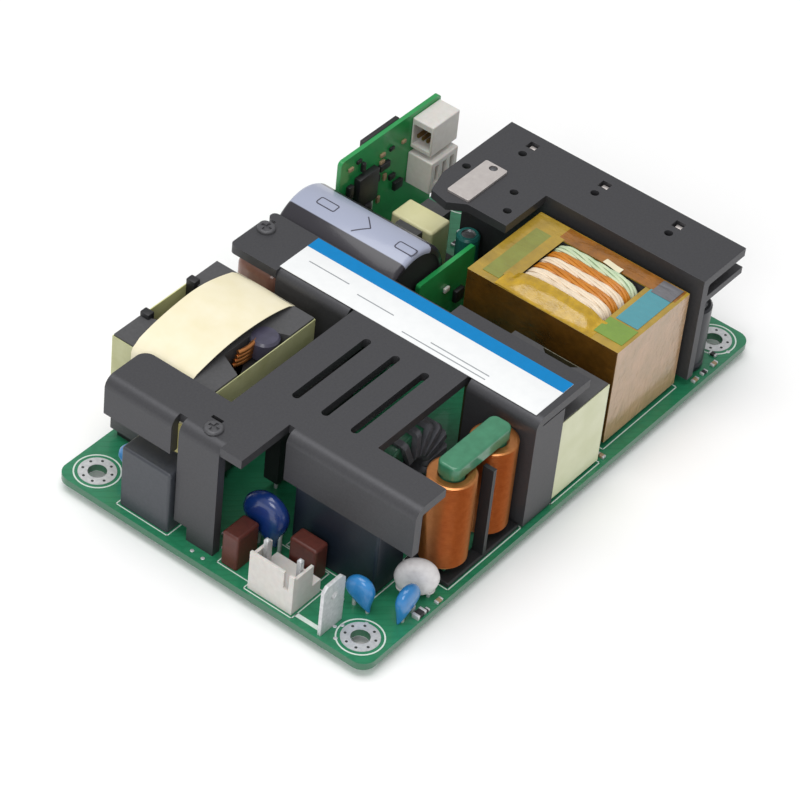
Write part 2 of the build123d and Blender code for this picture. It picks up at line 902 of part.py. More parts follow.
def transformer_tape():
    """Film tape pasted round the core and over its top edges, open above and below the windings."""
    deep = trafo_height - trafo_tape_stop + tape
    shell = Box(trafo_length + 2 * tape, trafo_width + 2 * tape, deep)
    core = Pos(0, 0, -tape) * Box(trafo_length, trafo_width, deep)
    window = Box(trafo_room - coil_gap, trafo_window - coil_gap, 2 * trafo_height)
    wrap = fillet((shell - core).edges().filter_by(Axis.Z).group_by(SortBy.LENGTH)[-1], tape * 0.8)
    middle = board_top + trafo_height + tape - deep / 2
    return Pos(trafo_x, trafo_y, middle) * (wrap - window)


def transformer_teal_patch():
    low = trafo_height + tape
    y0 = trafo_y0 + patch_edge
    x0 = trafo_x - patch_gap
    return block(x0, trafo_x1 - patch_gap, y0, trafo_y0 + trafo_leg - patch_edge, low, low + tape / 2)


def transformer_green_patch():
    low = trafo_height + tape
    x0 = trafo_x0 + 2 * patch_edge
    x1 = trafo_x - patch_gap - patch_edge / 2
    return block(x0, x1, trafo_y0 + patch_edge / 2, trafo_y0 + trafo_leg, low, low + tape / 2)


def res_place(shape):
    x = res_x0 + tape + res_length / 2
    return Pos(x, res_y0 + res_width / 2, 0) * Rot(0, 0, 90) * shape


def resonant_choke_core():
    post = res_length - res_coil
    core = pot_core(res_width, res_length, res_base, res_height, res_plate, post, res_length, res_waist, res_notch)
    return res_place(core)


def resonant_choke_winding():
    low = res_base + res_plate + coil_gap
    high = res_height - res_plate - coil_gap
    inner = (res_length - res_coil) / 2 + part_gap
    return res_place(pot_winding(low, high, inner, res_length / 2 - coil_gap, res_turns))


def resonant_choke_tape():
    ring = Rectangle(res_width + 2 * tape, res_length + 2 * tape) - Rectangle(res_width, res_length)
    return res_place(Pos(0, 0, board_top + res_base) * extrude(ring, res_height - res_base - tape))


def bulk_capacitor():
    """A sleeved can lying along Y: rounded blind end at the left edge, rolled groove at the other."""
    groove = bulk_groove_start
    groove_end = groove + bulk_groove_width
    profile = Plane.XZ * make_face(
        [
            Line((0, 0), (bulk_radius - bulk_rim, 0)),
            Line((bulk_radius - bulk_rim, 0), (bulk_radius, bulk_rim)),
            Line((bulk_radius, bulk_rim), (bulk_radius, groove)),
            ThreePointArc(
                (bulk_radius, groove),
                (bulk_radius - bulk_groove, (groove + groove_end) / 2),
                (bulk_radius, groove_end),
            ),
            Line((bulk_radius, groove_end), (bulk_radius, bulk_length - bulk_rim)),
            RadiusArc((bulk_radius, bulk_length - bulk_rim), (bulk_radius - bulk_rim, bulk_length), -bulk_rim),
            Line((bulk_radius - bulk_rim, bulk_length), (0, bulk_length)),
            Line((0, bulk_length), (0, 0)),
        ]
    )
    can = revolve(profile, Axis.Z)
    return Pos(bulk_x, bulk_y0, board_top + bulk_height) * Rot(-90, 0, 0) * can


def bent_lead(x, y0, y1, z):
    """A wire that leaves a part along Y and turns down to the board."""
    along = rod_y(x, y0, y1, z, lead_diameter)
    down = rod(x, y0, 0, z, lead_diameter)
    elbow = Pos(x, y0, board_top + z) * Sphere(lead_diameter / 2)
    return along + down + elbow


def resonant_capacitor():
    top = bulk_height - bulk_radius - film_clearance
    half = res_cap_width / 2
    y0 = bulk_y0 + res_cap_start
    return rounded(bulk_x - half, bulk_x + half, y0, y0 + res_cap_length, 0, top, box_edge)


def film_capacitor():
    x0 = web_x + film_web_gap
    y0 = left_web_y1 + film_web_gap - 0.2
    top = sink_top - screw_length - part_gap
    return rounded(x0, x0 + film_width, y0, strip_y1 - label_edge, 0, top, film_width * 0.275)


def standby_frame():
    """The closed outside of the small core, between the control board and the output heatsink."""
    half = standby_length / 2
    deep = standby_depth / 2
    y0 = standby_y - deep
    return block(standby_x - half, standby_x + half, y0, standby_y + deep, standby_core_base, standby_core_top)


def standby_core():
    frame = standby_frame()
    low = standby_core_base + standby_plate
    high = standby_core_top - standby_plate
    shift = (standby_limb + standby_window) / 2
    half = standby_window / 2
    for x in (standby_x - shift, standby_x + shift):
        frame -= block(x - half, x + half, standby_y - standby_depth, standby_y + standby_depth, low, high)
    return frame


def standby_winding_tape():
    """The taped winding block of the small transformer, with the core's limb through it."""
    half = standby_coil_length / 2
    deep = standby_coil_depth / 2
    y0 = standby_y - deep
    x0 = standby_x - half
    outside = rounded(x0, standby_x + half, y0, standby_y + deep, standby_base, standby_coil_top, box_edge)
    return outside - standby_frame()


def standby_bobbin():
    half = standby_length / 2 - part_gap
    deep = standby_coil_depth / 2
    y0 = standby_y - deep
    return base_slab(standby_x - half, standby_x + half, y0, standby_y + deep, 0, standby_base, standby_window)


def control_board():
    board = block(control_x0, control_x1, control_y0, control_y1, 0, control_height)
    corners = board.edges().filter_by(Axis.Y).group_by(Axis.Z)[-1]
    return fillet(corners, control_corner)


def control_chips():
    """Chips on the control board's face, from its left end and down from its top, and one behind."""
    front = [(4.8, 6.3, 6.4, 7.8, 1.6), (2.2, 7.1, 1.6, 3.2, 1.0), (12.6, 7.4, 3.2, 1.6, 0.9)]
    front += [(5.6, 17.2, 5.0, 4.0, 1.5), (6.5, 3.4, 1.0, 2.2, 0.8)]
    chips = []
    for x, drop, wide, tall, thick in front:
        x0 = control_x0 + x
        z1 = control_height - drop
        chips.append(block(x0, x0 + wide, control_y0 - thick, control_y0, z1 - tall, z1))
    back_x = control_x0 + 8.4
    chips.append(block(back_x, back_x + 11.6, control_y1, control_y1 + 1.1, control_height - 7, control_height + 0.2))
    return group(chips)


def sense_header_box():
    """Corner coordinates of the upper white header on the control board."""
    x1 = control_x1 - sense_edge
    z1 = control_height - control_corner
    return x1 - sense_length, x1, control_y0 - sense_depth, control_y0, z1 - sense_height, z1


def sense_header():
    x0, x1, y0, y1, z0, z1 = sense_header_box()
    shell = rounded(x0, x1, y0, y1, z0, z1, part_gap)
    low = z0 + 1.8 * sense_wall
    pocket = block(x0 - 1, x0 + sense_pocket, y0 + sense_wall, y1 - sense_wall, low, z1 - 2.7 * sense_wall)
    return shell - pocket


def sense_contacts():
    """Three spring contacts, one behind the other, on the floor of the header's pocket."""
    x0, x1, y0, y1, z0, z1 = sense_header_box()
    pitch = (sense_depth - 2 * sense_wall) / 3
    x_end = x0 + sense_pocket
    z = z0 + 3 * sense_wall
    spots = [y0 + sense_wall + (n + 0.5) * pitch for n in range(3)]
    return group(block(x0 + sense_edge, x_end, y - 0.25, y + 0.25, z, z + 0.8) for y in spots)


def fan_header():
    """The lower white header, a little larger, with three slots in its outer face."""
    x0, x1, y0, y1, z0, z1 = sense_header_box()
    high = z0 - fan_gap
    low = high - fan_height
    shell = rounded(x0 - sense_edge, x1 - sense_edge, y0 - sense_wall, y1, low, high, part_gap)
    slot_low = low + 2.4 * sense_wall
    slot_high = high - 1.5 * sense_wall
    middle = (x0 + x1) / 2 - sense_edge
    for n in (-1, 0, 1):
        x = middle + n * fan_slot_pitch
        shell -= block(x - fan_slot / 2, x + fan_slot / 2, y0 - 2, y0 + sense_wall / 2, slot_low, slot_high)
    return shell


def feedback_board():
    board = block(feedback_x0, feedback_x0 + feedback_length, feedback_y0, feedback_y1, 0, feedback_height)
    return fillet(board.edges().filter_by(Axis.Y).group_by(Axis.Z)[-1], box_edge)


def feedback_chips():
    """Optocoupler and small parts on the face towards the right edge of the board."""
    x0 = feedback_x0
    y1 = feedback_y0
    optic = block(x0 + 4.0, x0 + 10.4, y1 - 3.4, y1, 4.0, 8.6)
    dot = block(x0 + 8.2, x0 + 9.8, y1 - 0.7, y1, 14.6, 15.6)
    chip = block(x0 + 11.8, x0 + 14.6, y1 - 1.1, y1, 10.0, 13.0)
    return [optic, dot, chip]


def small_capacitor():
    x = out_x - small_cap_out_gap
    y = standby_y - small_cap_standby_gap
    can = rod(x, y, 0, small_cap_height, small_cap_diameter)
    return fillet(can.edges().group_by(Axis.Z)[-1], 0.4)


def line_choke_core():
    """A closed rectangular core standing upright: two limbs, with a bar across their tops and feet."""
    half = line_limb / 2
    bar_low = line_top - line_bar_height
    y0 = line_y - half
    y1 = line_y + half
    upper = block(line_x0 - half, line_x1 + half, y0, y1, bar_low, line_top)
    lower = block(line_x0 - half, line_x1 + half, y0, y1, line_foot, line_coil_base - ring_seat)
    upper = fillet(upper.edges().filter_by(Axis.Z), line_limb * 0.32)
    rim = upper.edges().group_by(Axis.Z)[-1]
    upper = fillet(rim, line_limb * 0.12)
    limbs = [rod(x, line_y, line_foot, bar_low, line_limb) for x in (line_x0, line_x1)]
    return upper + lower + limbs[0] + limbs[1]


def line_choke_coils():
    inner = line_limb / 2 + coil_gap
    coil = pot_winding(line_coil_base, line_coil_base + line_coil_height, inner, line_coil_radius, line_turns)
    return group([Pos(x, line_y, 0) * coil for x in (line_x0, line_x1)])


def line_choke_base():
    """The black foot of the line choke with the wall that parts its two coils."""
    middle = (line_x0 + line_x1) / 2
    reach = line_coil_radius + coil_gap
    x0 = line_x0 - line_coil_radius
    x1 = line_x1 + line_coil_radius
    foot = rounded(x0, x1, line_y - reach, line_y + reach, 0, line_foot, line_foot * 0.3)
    deep = line_y - line_limb / 2 - ring_seat
    wall_top = line_top - line_bar_height - line_foot
    wall = block(middle - line_foot / 2, middle + line_foot / 2, line_y - reach, deep, line_foot, wall_top)
    return foot + wall


def ring_place(shape):
    return Pos(ring_x, ring_y, board_top + ring_diameter / 2 + ring_wire + ring_seat) * Rot(90, 0, 0) * shape


def ring_choke_core():
    ring = Cylinder(ring_diameter / 2, ring_width) - Cylinder(ring_bore / 2, ring_width)
    return ring_place(fillet(ring.edges().filter_by(GeomType.CIRCLE), 0.5))


def ring_choke_winding():
    """Separate turns of thick wire round the ring's section, spread evenly about its axis."""
    deep = (ring_diameter - ring_bore) / 2
    middle = (ring_diameter + ring_bore) / 4
    outer = Box(deep + 2 * ring_wire, ring_wire, ring_width + 2 * ring_wire)
    inner = Box(deep + 0.1, ring_wire + 1, ring_width + 0.1)
    turn = fillet(outer.edges().filter_by(Axis.Y), ring_wire * 0.9) - inner
    step = ring_arc / ring_turns
    turns = [ring_place(Rot(0, 0, -70 + n * step) * Pos(middle, 0, 0) * turn) for n in range(ring_turns)]
    return group(turns)


def left_x_capacitor():
    x0 = sink_x - x_left_overhang
    y0 = leg_y1 + x_left_leg_gap
    return rounded(x0, x0 + x_left_width, y0, left_y - x_left_side_gap, 0, x_left_height, box_edge)


def front_x_capacitor():
    y0 = right_y + x_front_side_gap
    return rounded(x_front_x0, x_front_x1, y0, nose_y - x_front_nose_gap, 0, x_front_height, box_edge)


def disc_body(x, y, z, diameter, thickness, turn):
    """A dipped disc: domed on both faces, standing on edge, turned about the upright axis."""
    puck = Cylinder(diameter / 2, thickness)
    puck = fillet(puck.edges().filter_by(GeomType.CIRCLE), thickness * dip_edge)
    return Pos(x, y, board_top + z) * Rot(0, 0, turn) * Rot(0, 90, 0) * puck


def disc_leads(x, y, z, diameter, pitch, turn):
    """Place and length of a disc's two straight leads, which end just under its rim."""
    side = math.radians(turn)
    rim = z - math.sqrt(diameter ** 2 - pitch ** 2) / 2 - lead_sink
    shifts = (-pitch / 2, pitch / 2)
    return [(x - way * math.sin(side), y + way * math.cos(side), rim) for way in shifts]


def varistor():
    return disc_body(varistor_x, varistor_y, varistor_height, varistor_diameter, varistor_thickness, 0)


def thermistor():
    x = thermistor_x
    y = thermistor_y
    return disc_body(x, y, thermistor_height, thermistor_diameter, thermistor_thickness, thermistor_turn)


def disc_spots():
    """Place, height and turn of the blue disc capacitors: two at the earth tab, one at the left hole."""
    return [
        (step_x - 3.0, right_y + 10.4, 5.0, 0),
        (thermistor_x - 5.5, right_y + 2.6, 4.6, 90),
        (boost_x0 - 5.2, left_y - 11.1, 4.4, disc_turn),
    ]


def disc_capacitors():
    return group(disc_body(x, y, z, disc_diameter, disc_thickness, turn) for x, y, z, turn in disc_spots())


def fuse_corners():
    """Lower front corners and sizes of the two box fuses, one along X and one along Y."""
    front_y = leg_y0 - fuse_leg_gap - fuse_width
    side_x = header_x1 + fuse_header_gap
    side_y = varistor_y - fuse_varistor_gap - fuse_length
    return (sink_x - fuse_overhang, front_y, fuse_length, fuse_width), (side_x, side_y, fuse_width, fuse_length)


def line_fuses():
    cases = []
    for x, y, long, wide in fuse_corners():
        cases.append(rounded(x, x + long, y, y + wide, 0, fuse_height, box_edge))
    return group(cases)


def shroud(x0, x1, y0, y1, outward):
    """A pin header: a floor, a tall wall on the outward side, shorter walls at its two ends, and a
    keyway cut down through the tall wall. The side away from the tall wall is left open."""
    floor = block(x0, x1, y0, y1, 0, header_floor)
    tall_x = x0 if outward < 0 else x1 - header_wall
    tall = block(tall_x, tall_x + header_wall, y0, y1, header_floor, header_height)
    end_x0 = x0 if outward < 0 else x0 + header_open
    end_x1 = x1 - header_open if outward < 0 else x1
    ends = [block(end_x0, end_x1, y, y + header_wall, header_floor, header_end) for y in (y0, y1 - header_wall)]
    body = floor + tall + ends[0] + ends[1]
    key_y = y0 + header_key
    key_low = header_height - header_key_depth
    key = block(tall_x - 1, tall_x + header_wall + 1, key_y, key_y + header_key, key_low, header_height + 1)
    return body - key


def mains_header():
    return shroud(header_x0, header_x1, header_y0, header_y1, -1)


def square_pin(x, y, low, high):
    half = header_pin / 2
    pin = block(x - half, x + half, y - half, y + half, low, high)
    return chamfer(pin.edges().group_by(Axis.Z)[-1], header_pin * 0.3)


def mains_pins():
    spots = (header_y - header_pitch / 2, header_y + header_pitch / 2)
    return group(square_pin(header_x, y, header_floor, header_pin_height) for y in spots)


def earth_tab():
    """An upright blade for a push-on terminal, with its latch hole and chamfered tip."""
    x0 = front_x + tab_from_front
    y0 = right_y + tab_from_right
    blade = block(x0, x0 + tab_width, y0, y0 + tab_thickness, 0, tab_height)
    blade = chamfer(blade.edges().filter_by(Axis.Y).group_by(Axis.Z)[-1], tab_corner)
    return blade - rod_y(x0 + tab_width / 2, y0 - 1, y0 + 2, tab_height - tab_hole_drop, tab_hole)


def output_header_span():
    """Ends of the output header along Y, beside the output heatsink's outer edge."""
    length = (out_header_pins - 1) * out_header_pitch + 2 * out_header_end
    y0 = out_y0 + out_header_start
    return y0, y0 + length


def output_header():
    y0, y1 = output_header_span()
    x1 = rear_x - out_header_from_rear
    return shroud(x1 - header_depth, x1, y0, y1, 1)


def output_pin_x():
    """The pins stand nearer to the header's tall outer wall."""
    return rear_x - out_header_from_rear - header_depth / 2 + header_pin_offset


def output_pins():
    y0, y1 = output_header_span()
    x = output_pin_x()
    spots = [y0 + out_header_end + n * out_header_pitch for n in range(out_header_pins)]
    return group(square_pin(x, y, header_floor, header_height - 0.5) for y in spots)


def output_capacitor_spots():
    """Beside the rectifiers: halfway between their cases, and once past the last of them."""
    x = out_x + out_wall + part_gap + out_cap_diameter / 2
    return [(x, y - out_slot_pitch / 2) for _, y in output_slot_spots()]


def output_capacitors():
    """Upright cans under the output heatsink's second fin, on the header's side of its wall."""
    cans = []
    for x, y in output_capacitor_spots():
        can = rod(x, y, 0, fin_under - out_cap_gap, out_cap_diameter)
        cans.append(fillet(can.edges().group_by(Axis.Z)[-1], box_edge))
    return group(cans)


def surface_parts():
    """Small chips soldered to the board's top face between the larger parts."""
    spots = [
        (boost_x0 - 4.0, left_y - 12.5, 1.6, 3.0, 1.1),
        (sink_x + 3.0, nose_y + 4.0, 2.0, 1.2, 0.8),
        (front_x + 9.6, right_y + 16.5, 2.0, 1.2, 0.6),
        (front_x + 18.5, right_y + 3.2, 3.0, 1.6, 1.0),
        (x_front_x1 + 1.8, bay_y + 2.0, 3.2, 1.6, 0.8),
        (rear_x - 9.0, right_y + 11.5, 2.0, 1.2, 0.6),
        (strip_x + 9.2, right_y + 2.0, 3.2, 1.6, 0.6),
    ]
    chips = [block(x, x + long, y, y + wide, 0, high) for x, y, long, wide, high in spots]
    return group(chips + feedback_chips())


def ring_lead_spots():
    """The two ends of the ring choke's wire, beside its turns."""
    y = ring_y - ring_width / 2 - ring_wire - lead_diameter * 0.75
    return [(ring_x - ring_bore / 3, y), (ring_x + ring_bore / 3, y)]


def upright_leads():
    """Straight leads of the parts that stand clear of the board: place and the height they reach."""
    leads = disc_leads(varistor_x, varistor_y, varistor_height, varistor_diameter, varistor_lead_pitch, 0)
    x = thermistor_x
    y = thermistor_y
    leads += disc_leads(x, y, thermistor_height, thermistor_diameter, thermistor_lead_pitch, thermistor_turn)
    for x, y, z, turn in disc_spots():
        leads += disc_leads(x, y, z, disc_diameter, disc_lead_pitch, turn)
    pitch = (bridge_x1 - bridge_x0 - 2 * bridge_leg_end) / (bridge_legs - 1)
    for n in range(bridge_legs):
        x = bridge_x0 + bridge_leg_end + n * pitch
        leads.append((x, bridge_y0 + bridge_thickness / 2, bridge_bottom))
    return leads


def component_leads():
    wires = [rod(x, y, 0, z, lead_diameter) for x, y, z in upright_leads()]
    for x in (bulk_x - bulk_lead_pitch / 2, bulk_x + bulk_lead_pitch / 2):
        wires.append(bent_lead(x, bulk_y0 - bulk_lead_reach, bulk_y0, bulk_height))
    for place in package_places():
        wires += package_legs(*place)
    wires += [rod(x, y, 0, ring_bore / 2, lead_diameter) for x, y in ring_lead_spots()]
    return group(wires)


def pin_row(x, y0, y1, count):
    """Equal steps along Y between two ends."""
    return [(x, y0 + n * (y1 - y0) / (count - 1)) for n in range(count)]


def joint_spots():
    """Where leads and pins pass through the board and are soldered underneath."""
    spots = [(x, y) for x, y, z in upright_leads()]
    for x in (bulk_x - bulk_lead_pitch / 2, bulk_x + bulk_lead_pitch / 2):
        spots.append((x, bulk_y0 - bulk_lead_reach))
    spots += ring_lead_spots()
    spots += pin_row(header_x, header_y - header_pitch / 2, header_y + header_pitch / 2, 2)
    for x in (trafo_x0 + foot_joint, trafo_x1 - foot_joint):
        spots += pin_row(x, trafo_y0 + foot_row, trafo_y1 - foot_row, trafo_pins)
    for x in (boost_x0 + foot_joint, boost_x1 - foot_joint):
        spots += pin_row(x, boost_y0 + foot_row, boost_y1 - foot_row, 3)
    for x in (res_x0 + foot_joint, res_x1 - foot_joint):
        spots += pin_row(x, res_y0 + foot_row, res_y0 + res_width - foot_row, 2)
    for face_x, y, bottom, side in package_places():
        x = face_x + side * package_leg_depth
        spots += pin_row(x, y - package_leg_pitch, y + package_leg_pitch, 3)
    y0, y1 = output_header_span()
    spots += pin_row(output_pin_x(), y0 + out_header_end, y1 - out_header_end, out_header_pins)
    for x, y in output_capacitor_spots():
        spots += pin_row(x, y - out_cap_lead_pitch / 2, y + out_cap_lead_pitch / 2, 2)
    for x in (line_x0, line_x1):
        spots += pin_row(x, line_y - foot_joint, line_y + foot_joint, 2)
    for n in range(control_pins):
        x = control_x0 + foot_joint + n * control_pin_pitch
        spots.append((x, control_y0 + daughter_thickness / 2))
    return spots


def solder_joints():
    cone = Cone(joint_diameter / 2, lead_diameter / 2, lead_drop)
    flipped = Rot(180, 0, 0) * cone
    return group(Pos(x, y, lead_drop / 2) * flipped for x, y in joint_spots())


nodes = {
    "circuit_board": circuit_board,
    "mounting_pads": mounting_pads,
    "primary_heatsink": primary_heatsink,
    "heatsink_screws": heatsink_screws,
    "insulation_sheet": insulation_sheet,
    "rating_label": rating_label,
    "output_heatsink": output_heatsink,
    "output_clamp_plate": output_clamp_plate,
    "switching_transistors": switching_transistors,
    "output_rectifiers": output_rectifiers,
    "package_screws": package_screws,
    "bridge_rectifier": bridge_rectifier,
    "boost_choke_core": boost_core,
    "boost_choke_bobbin": boost_bobbin,
    "boost_choke_winding": boost_winding,
    "boost_choke_side_tape": boost_side_tape_band,
    "boost_choke_top_tape": boost_top_tape,
    "transformer_core": transformer_core,
    "transformer_bobbin": transformer_bobbin,
    "transformer_primary": transformer_primary,
    "transformer_white_secondary": transformer_white_secondary,
    "transformer_orange_secondary": transformer_orange_secondary,
    "transformer_tape": transformer_tape,
    "transformer_teal_patch": transformer_teal_patch,
    "transformer_green_patch": transformer_green_patch,
    "resonant_choke_core": resonant_choke_core,
    "resonant_choke_winding": resonant_choke_winding,
    "resonant_choke_tape": resonant_choke_tape,
    "bulk_capacitor": bulk_capacitor,
    "resonant_capacitor": resonant_capacitor,
    "film_capacitor": film_capacitor,
    "standby_transformer_core": standby_core,
    "standby_transformer_tape": standby_winding_tape,
    "standby_transformer_bobbin": standby_bobbin,
    "control_board": control_board,
    "control_chips": control_chips,
    "sense_header": sense_header,
    "sense_header_contacts": sense_contacts,
    "fan_header": fan_header,
    "feedback_board": feedback_board,
    "small_capacitor": small_capacitor,
    "line_choke_core": line_choke_core,
    "line_choke_coils": line_choke_coils,
    "line_choke_base": line_choke_base,
    "ring_choke_core": ring_choke_core,
    "ring_choke_winding": ring_choke_winding,
    "left_x_capacitor": left_x_capacitor,
    "front_x_capacitor": front_x_capacitor,
    "varistor": varistor,
    "thermistor": thermistor,
    "disc_capacitors": disc_capacitors,
    "line_fuses": line_fuses,
    "mains_header": mains_header,
    "header_pins": lambda: group([mains_pins(), output_pins()]),
    "earth_tab": earth_tab,
    "output_header": output_header,
    "output_capacitors": output_capacitors,
    "surface_mount_parts": surface_parts,
    "component_leads": component_leads,
    "solder_joints": solder_joints,
}

os.makedirs("parts", exist_ok=True)
for name, make in nodes.items():
    export_step(make(), "parts/" + name + ".step")
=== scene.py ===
import math
import random

import bmesh
import bpy
from mathutils import Matrix, Vector


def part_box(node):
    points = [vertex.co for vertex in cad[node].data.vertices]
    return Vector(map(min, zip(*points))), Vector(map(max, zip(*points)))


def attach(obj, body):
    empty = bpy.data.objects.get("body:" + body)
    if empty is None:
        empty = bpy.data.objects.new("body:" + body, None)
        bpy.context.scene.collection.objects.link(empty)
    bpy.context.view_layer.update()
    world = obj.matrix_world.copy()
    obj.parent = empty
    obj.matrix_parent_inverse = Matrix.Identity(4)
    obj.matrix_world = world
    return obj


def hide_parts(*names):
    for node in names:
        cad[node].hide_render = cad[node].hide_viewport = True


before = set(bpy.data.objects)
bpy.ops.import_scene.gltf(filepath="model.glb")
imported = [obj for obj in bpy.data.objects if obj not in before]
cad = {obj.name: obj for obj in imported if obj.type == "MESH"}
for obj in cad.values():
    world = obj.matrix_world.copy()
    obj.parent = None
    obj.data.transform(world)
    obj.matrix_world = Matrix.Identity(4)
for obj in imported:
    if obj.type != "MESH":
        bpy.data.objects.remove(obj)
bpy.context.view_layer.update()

# The main board: 1.6 mm of glass-fibre laminate, printed on both faces with a glossy green
# lacquer, the solder mask. Everything else is soldered to it.
MM = 0.001
board_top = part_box("circuit_board")[1].z / MM
mask_green = "#28805A"
mask_shade = "#1B6A47"
edge_green = "#2C6A4C"
track_spacing = 1.1
track_scale = math.tau / 20 / (track_spacing * MM)
pour_size = 7.0


def linear(colour):
    """An sRGB hex colour as linear red, green, blue and alpha."""
    parts = [int(colour[n:n + 2], 16) / 255 for n in (1, 3, 5)]
    return [p / 12.92 if p <= 0.04045 else ((p + 0.055) / 1.055) ** 2.4 for p in parts] + [1.0]


def surface(name, colour, constants):
    """A new material with one Principled shader, its constants set on the shader's own sockets."""
    made = bpy.data.materials.new(name)
    made.use_nodes = True
    shader = made.node_tree.nodes["Principled BSDF"]
    shader.inputs["Base Color"].default_value = linear(colour)
    for socket, value in constants.items():
        shader.inputs[socket].default_value = value
    return made, shader


def add(material, kind, settings, links=()):
    """Adds a node, gives it its settings, and links its inputs to outputs of earlier nodes."""
    made = material.node_tree.nodes.new("ShaderNode" + kind)
    for name, value in settings.items():
        if isinstance(name, int) or name in made.inputs:
            made.inputs[name].default_value = value
        else:
            setattr(made, name, value)
    for name, output in links:
        material.node_tree.links.new(output, made.inputs[name])
    return made


def tint(material, shader, factor, first, second):
    """The shader's colour goes from the first hex colour to the second as factor goes from 0 to 1."""
    # Inputs 6 and 7 of a Mix node are its two colours.
    mix = add(material, "Mix", {"data_type": "RGBA", 6: linear(first), 7: linear(second)}, [(0, factor)])
    material.node_tree.links.new(mix.outputs[2], shader.inputs["Base Color"])
    return mix


def relief(material, shader, height, depth):
    """The shader's surface rises and falls with a height pattern, by depth millimetres."""
    bump = add(material, "Bump", {"Strength": 1.0, "Distance": depth * MM}, [("Height", height)])
    material.node_tree.links.new(bump.outputs["Normal"], shader.inputs["Normal"])


def grain(material, shader, size, depth, first, second, sharpness=0.5):
    """Uneven colour and a fine skin: cloudy noise of a real size in millimetres."""
    place = add(material, "TexCoord", {})
    noise = add(
        material,
        "TexNoise",
        {"Scale": 1 / (size * MM), "Detail": 4.0, "Roughness": sharpness},
        [("Vector", place.outputs["Object"])],
    )
    tint(material, shader, noise.outputs["Fac"], first, second)
    relief(material, shader, noise.outputs["Fac"], depth)
    return place


sockets = {
    "metal": "Metallic",
    "ior": "IOR",
    "specular": "Specular IOR Level",
    "coat": "Coat Weight",
    "coat_rough": "Coat Roughness",
    "clear": "Transmission Weight",
    "milk": "Subsurface Weight",
    "milk_depth": "Subsurface Scale",
}


# The real grain of ink, tin, ceramic, metal and plastic is too fine for the render to show, so the
# clouds of every finish below are drawn coarser, from a third of a millimetre to a few.
def clouded(name, roughness, size, depth, first, second, sharpness=0.5, **more):
    """A finish clouded by two close colours at a real size in millimetres, with more constants by name."""
    constants = {sockets[key]: value for key, value in more.items()}
    made, shader = surface(name, first, {"Roughness": roughness, **constants})
    grain(made, shader, size, depth, first, second, sharpness)
    return made


# Solder mask: a smooth lacquer with a wet gloss. The copper pours and tracks under it show as
# faint raised shapes with darker gaps between them. The sawn edges are a plain, duller green.
mask_gloss = {"Roughness": 0.34, "IOR": 1.5, "Coat Weight": 0.35}
solder_mask, shader = surface("solder_mask", mask_green, mask_gloss)
place = add(solder_mask, "TexCoord", {})
pours = add(
    solder_mask,
    "TexVoronoi",
    {"feature": "DISTANCE_TO_EDGE", "Scale": 1 / (pour_size * MM), "Randomness": 0.85},
    [("Vector", place.outputs["Object"])],
)
gap = add(
    solder_mask,
    "MapRange",
    {"From Min": 0.0, "From Max": 0.09, "To Min": 0.4, "To Max": 0.0},
    [(0, pours.outputs["Distance"])],
)
tracks = add(
    solder_mask,
    "TexWave",
    {"Scale": track_scale, "Distortion": 1.5, "Detail": 0.0, "bands_direction": "DIAGONAL"},
    [("Vector", place.outputs["Object"])],
)
lines = add(
    solder_mask,
    "MapRange",
    {"From Min": 0.75, "From Max": 0.95, "To Min": 0.0, "To Max": 0.35},
    [(0, tracks.outputs["Fac"])],
)
shade = add(solder_mask, "Math", {"operation": "MAXIMUM"}, [(0, gap.outputs[0]), (1, lines.outputs[0])])
mix = tint(solder_mask, shader, shade.outputs[0], mask_green, mask_shade)
facing = add(solder_mask, "SeparateXYZ", {}, [(0, place.outputs["Normal"])])
upright = add(solder_mask, "Math", {"operation": "ABSOLUTE"}, [(0, facing.outputs["Z"])])
sawn = add(
    solder_mask,
    "Mix",
    {"data_type": "RGBA", 6: linear(edge_green)},
    [(0, upright.outputs[0]), (7, mix.outputs[2])],
)
solder_mask.node_tree.links.new(sawn.outputs[2], shader.inputs["Base Color"])
relief(solder_mask, shader, shade.outputs[0], -0.03)


def dress(node, finish):
    """A CAD node whose shape is right gets its real finish."""
    cad[node].data.materials.clear()
    cad[node].data.materials.append(finish)


dress("circuit_board", solder_mask)

# The print on the board: white ink, a few hundredths of a millimetre thick. It rings the corner
# pads and outlines the parts' places. It is flat and matt, and a little green shines through it.
ink_height = 0.05
ring_radius = 4.75
ring_line = 0.3
line_width = 0.22
pad_radius = 3.8
print_limit = 37.6
crease = math.radians(38)
white_ink = clouded("white_ink", 0.6, 0.8, 0.01, "#E6EDE8", "#BFD2C6")
spare = bpy.data.meshes.new("spare")


def put(form, part, place=Matrix.Identity(4), finish=None):
    """Adds a shape, made at the origin, to a piece's mesh at its place, in one finish if given."""
    copy = part.copy()
    bmesh.ops.transform(copy, matrix=place, verts=copy.verts)
    if finish is not None:
        for face in copy.faces:
            face.material_index = finish
    copy.to_mesh(spare)
    form.from_mesh(spare)
    copy.free()


def at(x, y, z=0.0, turn=0.0):
    """A place in millimetres above the board's top, with a turn in degrees about the upright axis."""
    return Matrix.Translation((x, y, z)) @ Matrix.Rotation(math.radians(turn), 4, "Z")


def shift(form, x, y, z=0.0):
    """Moves a mesh by some millimetres and hands it back."""
    bmesh.ops.translate(form, vec=(x, y, z), verts=form.verts)
    return form


def brick(low, high, edge=0.0):
    """A block between two corners, its edges rounded off by edge millimetres."""
    form = bmesh.new()
    bmesh.ops.create_cube(form, size=1)
    bmesh.ops.scale(form, vec=Vector(high) - Vector(low), verts=form.verts)
    shift(form, *((Vector(low) + Vector(high)) / 2))
    if edge:
        bmesh.ops.bevel(
            form, geom=form.edges[:], offset=edge, segments=2, profile=0.5, affect="EDGES", material=-1
        )
    return form


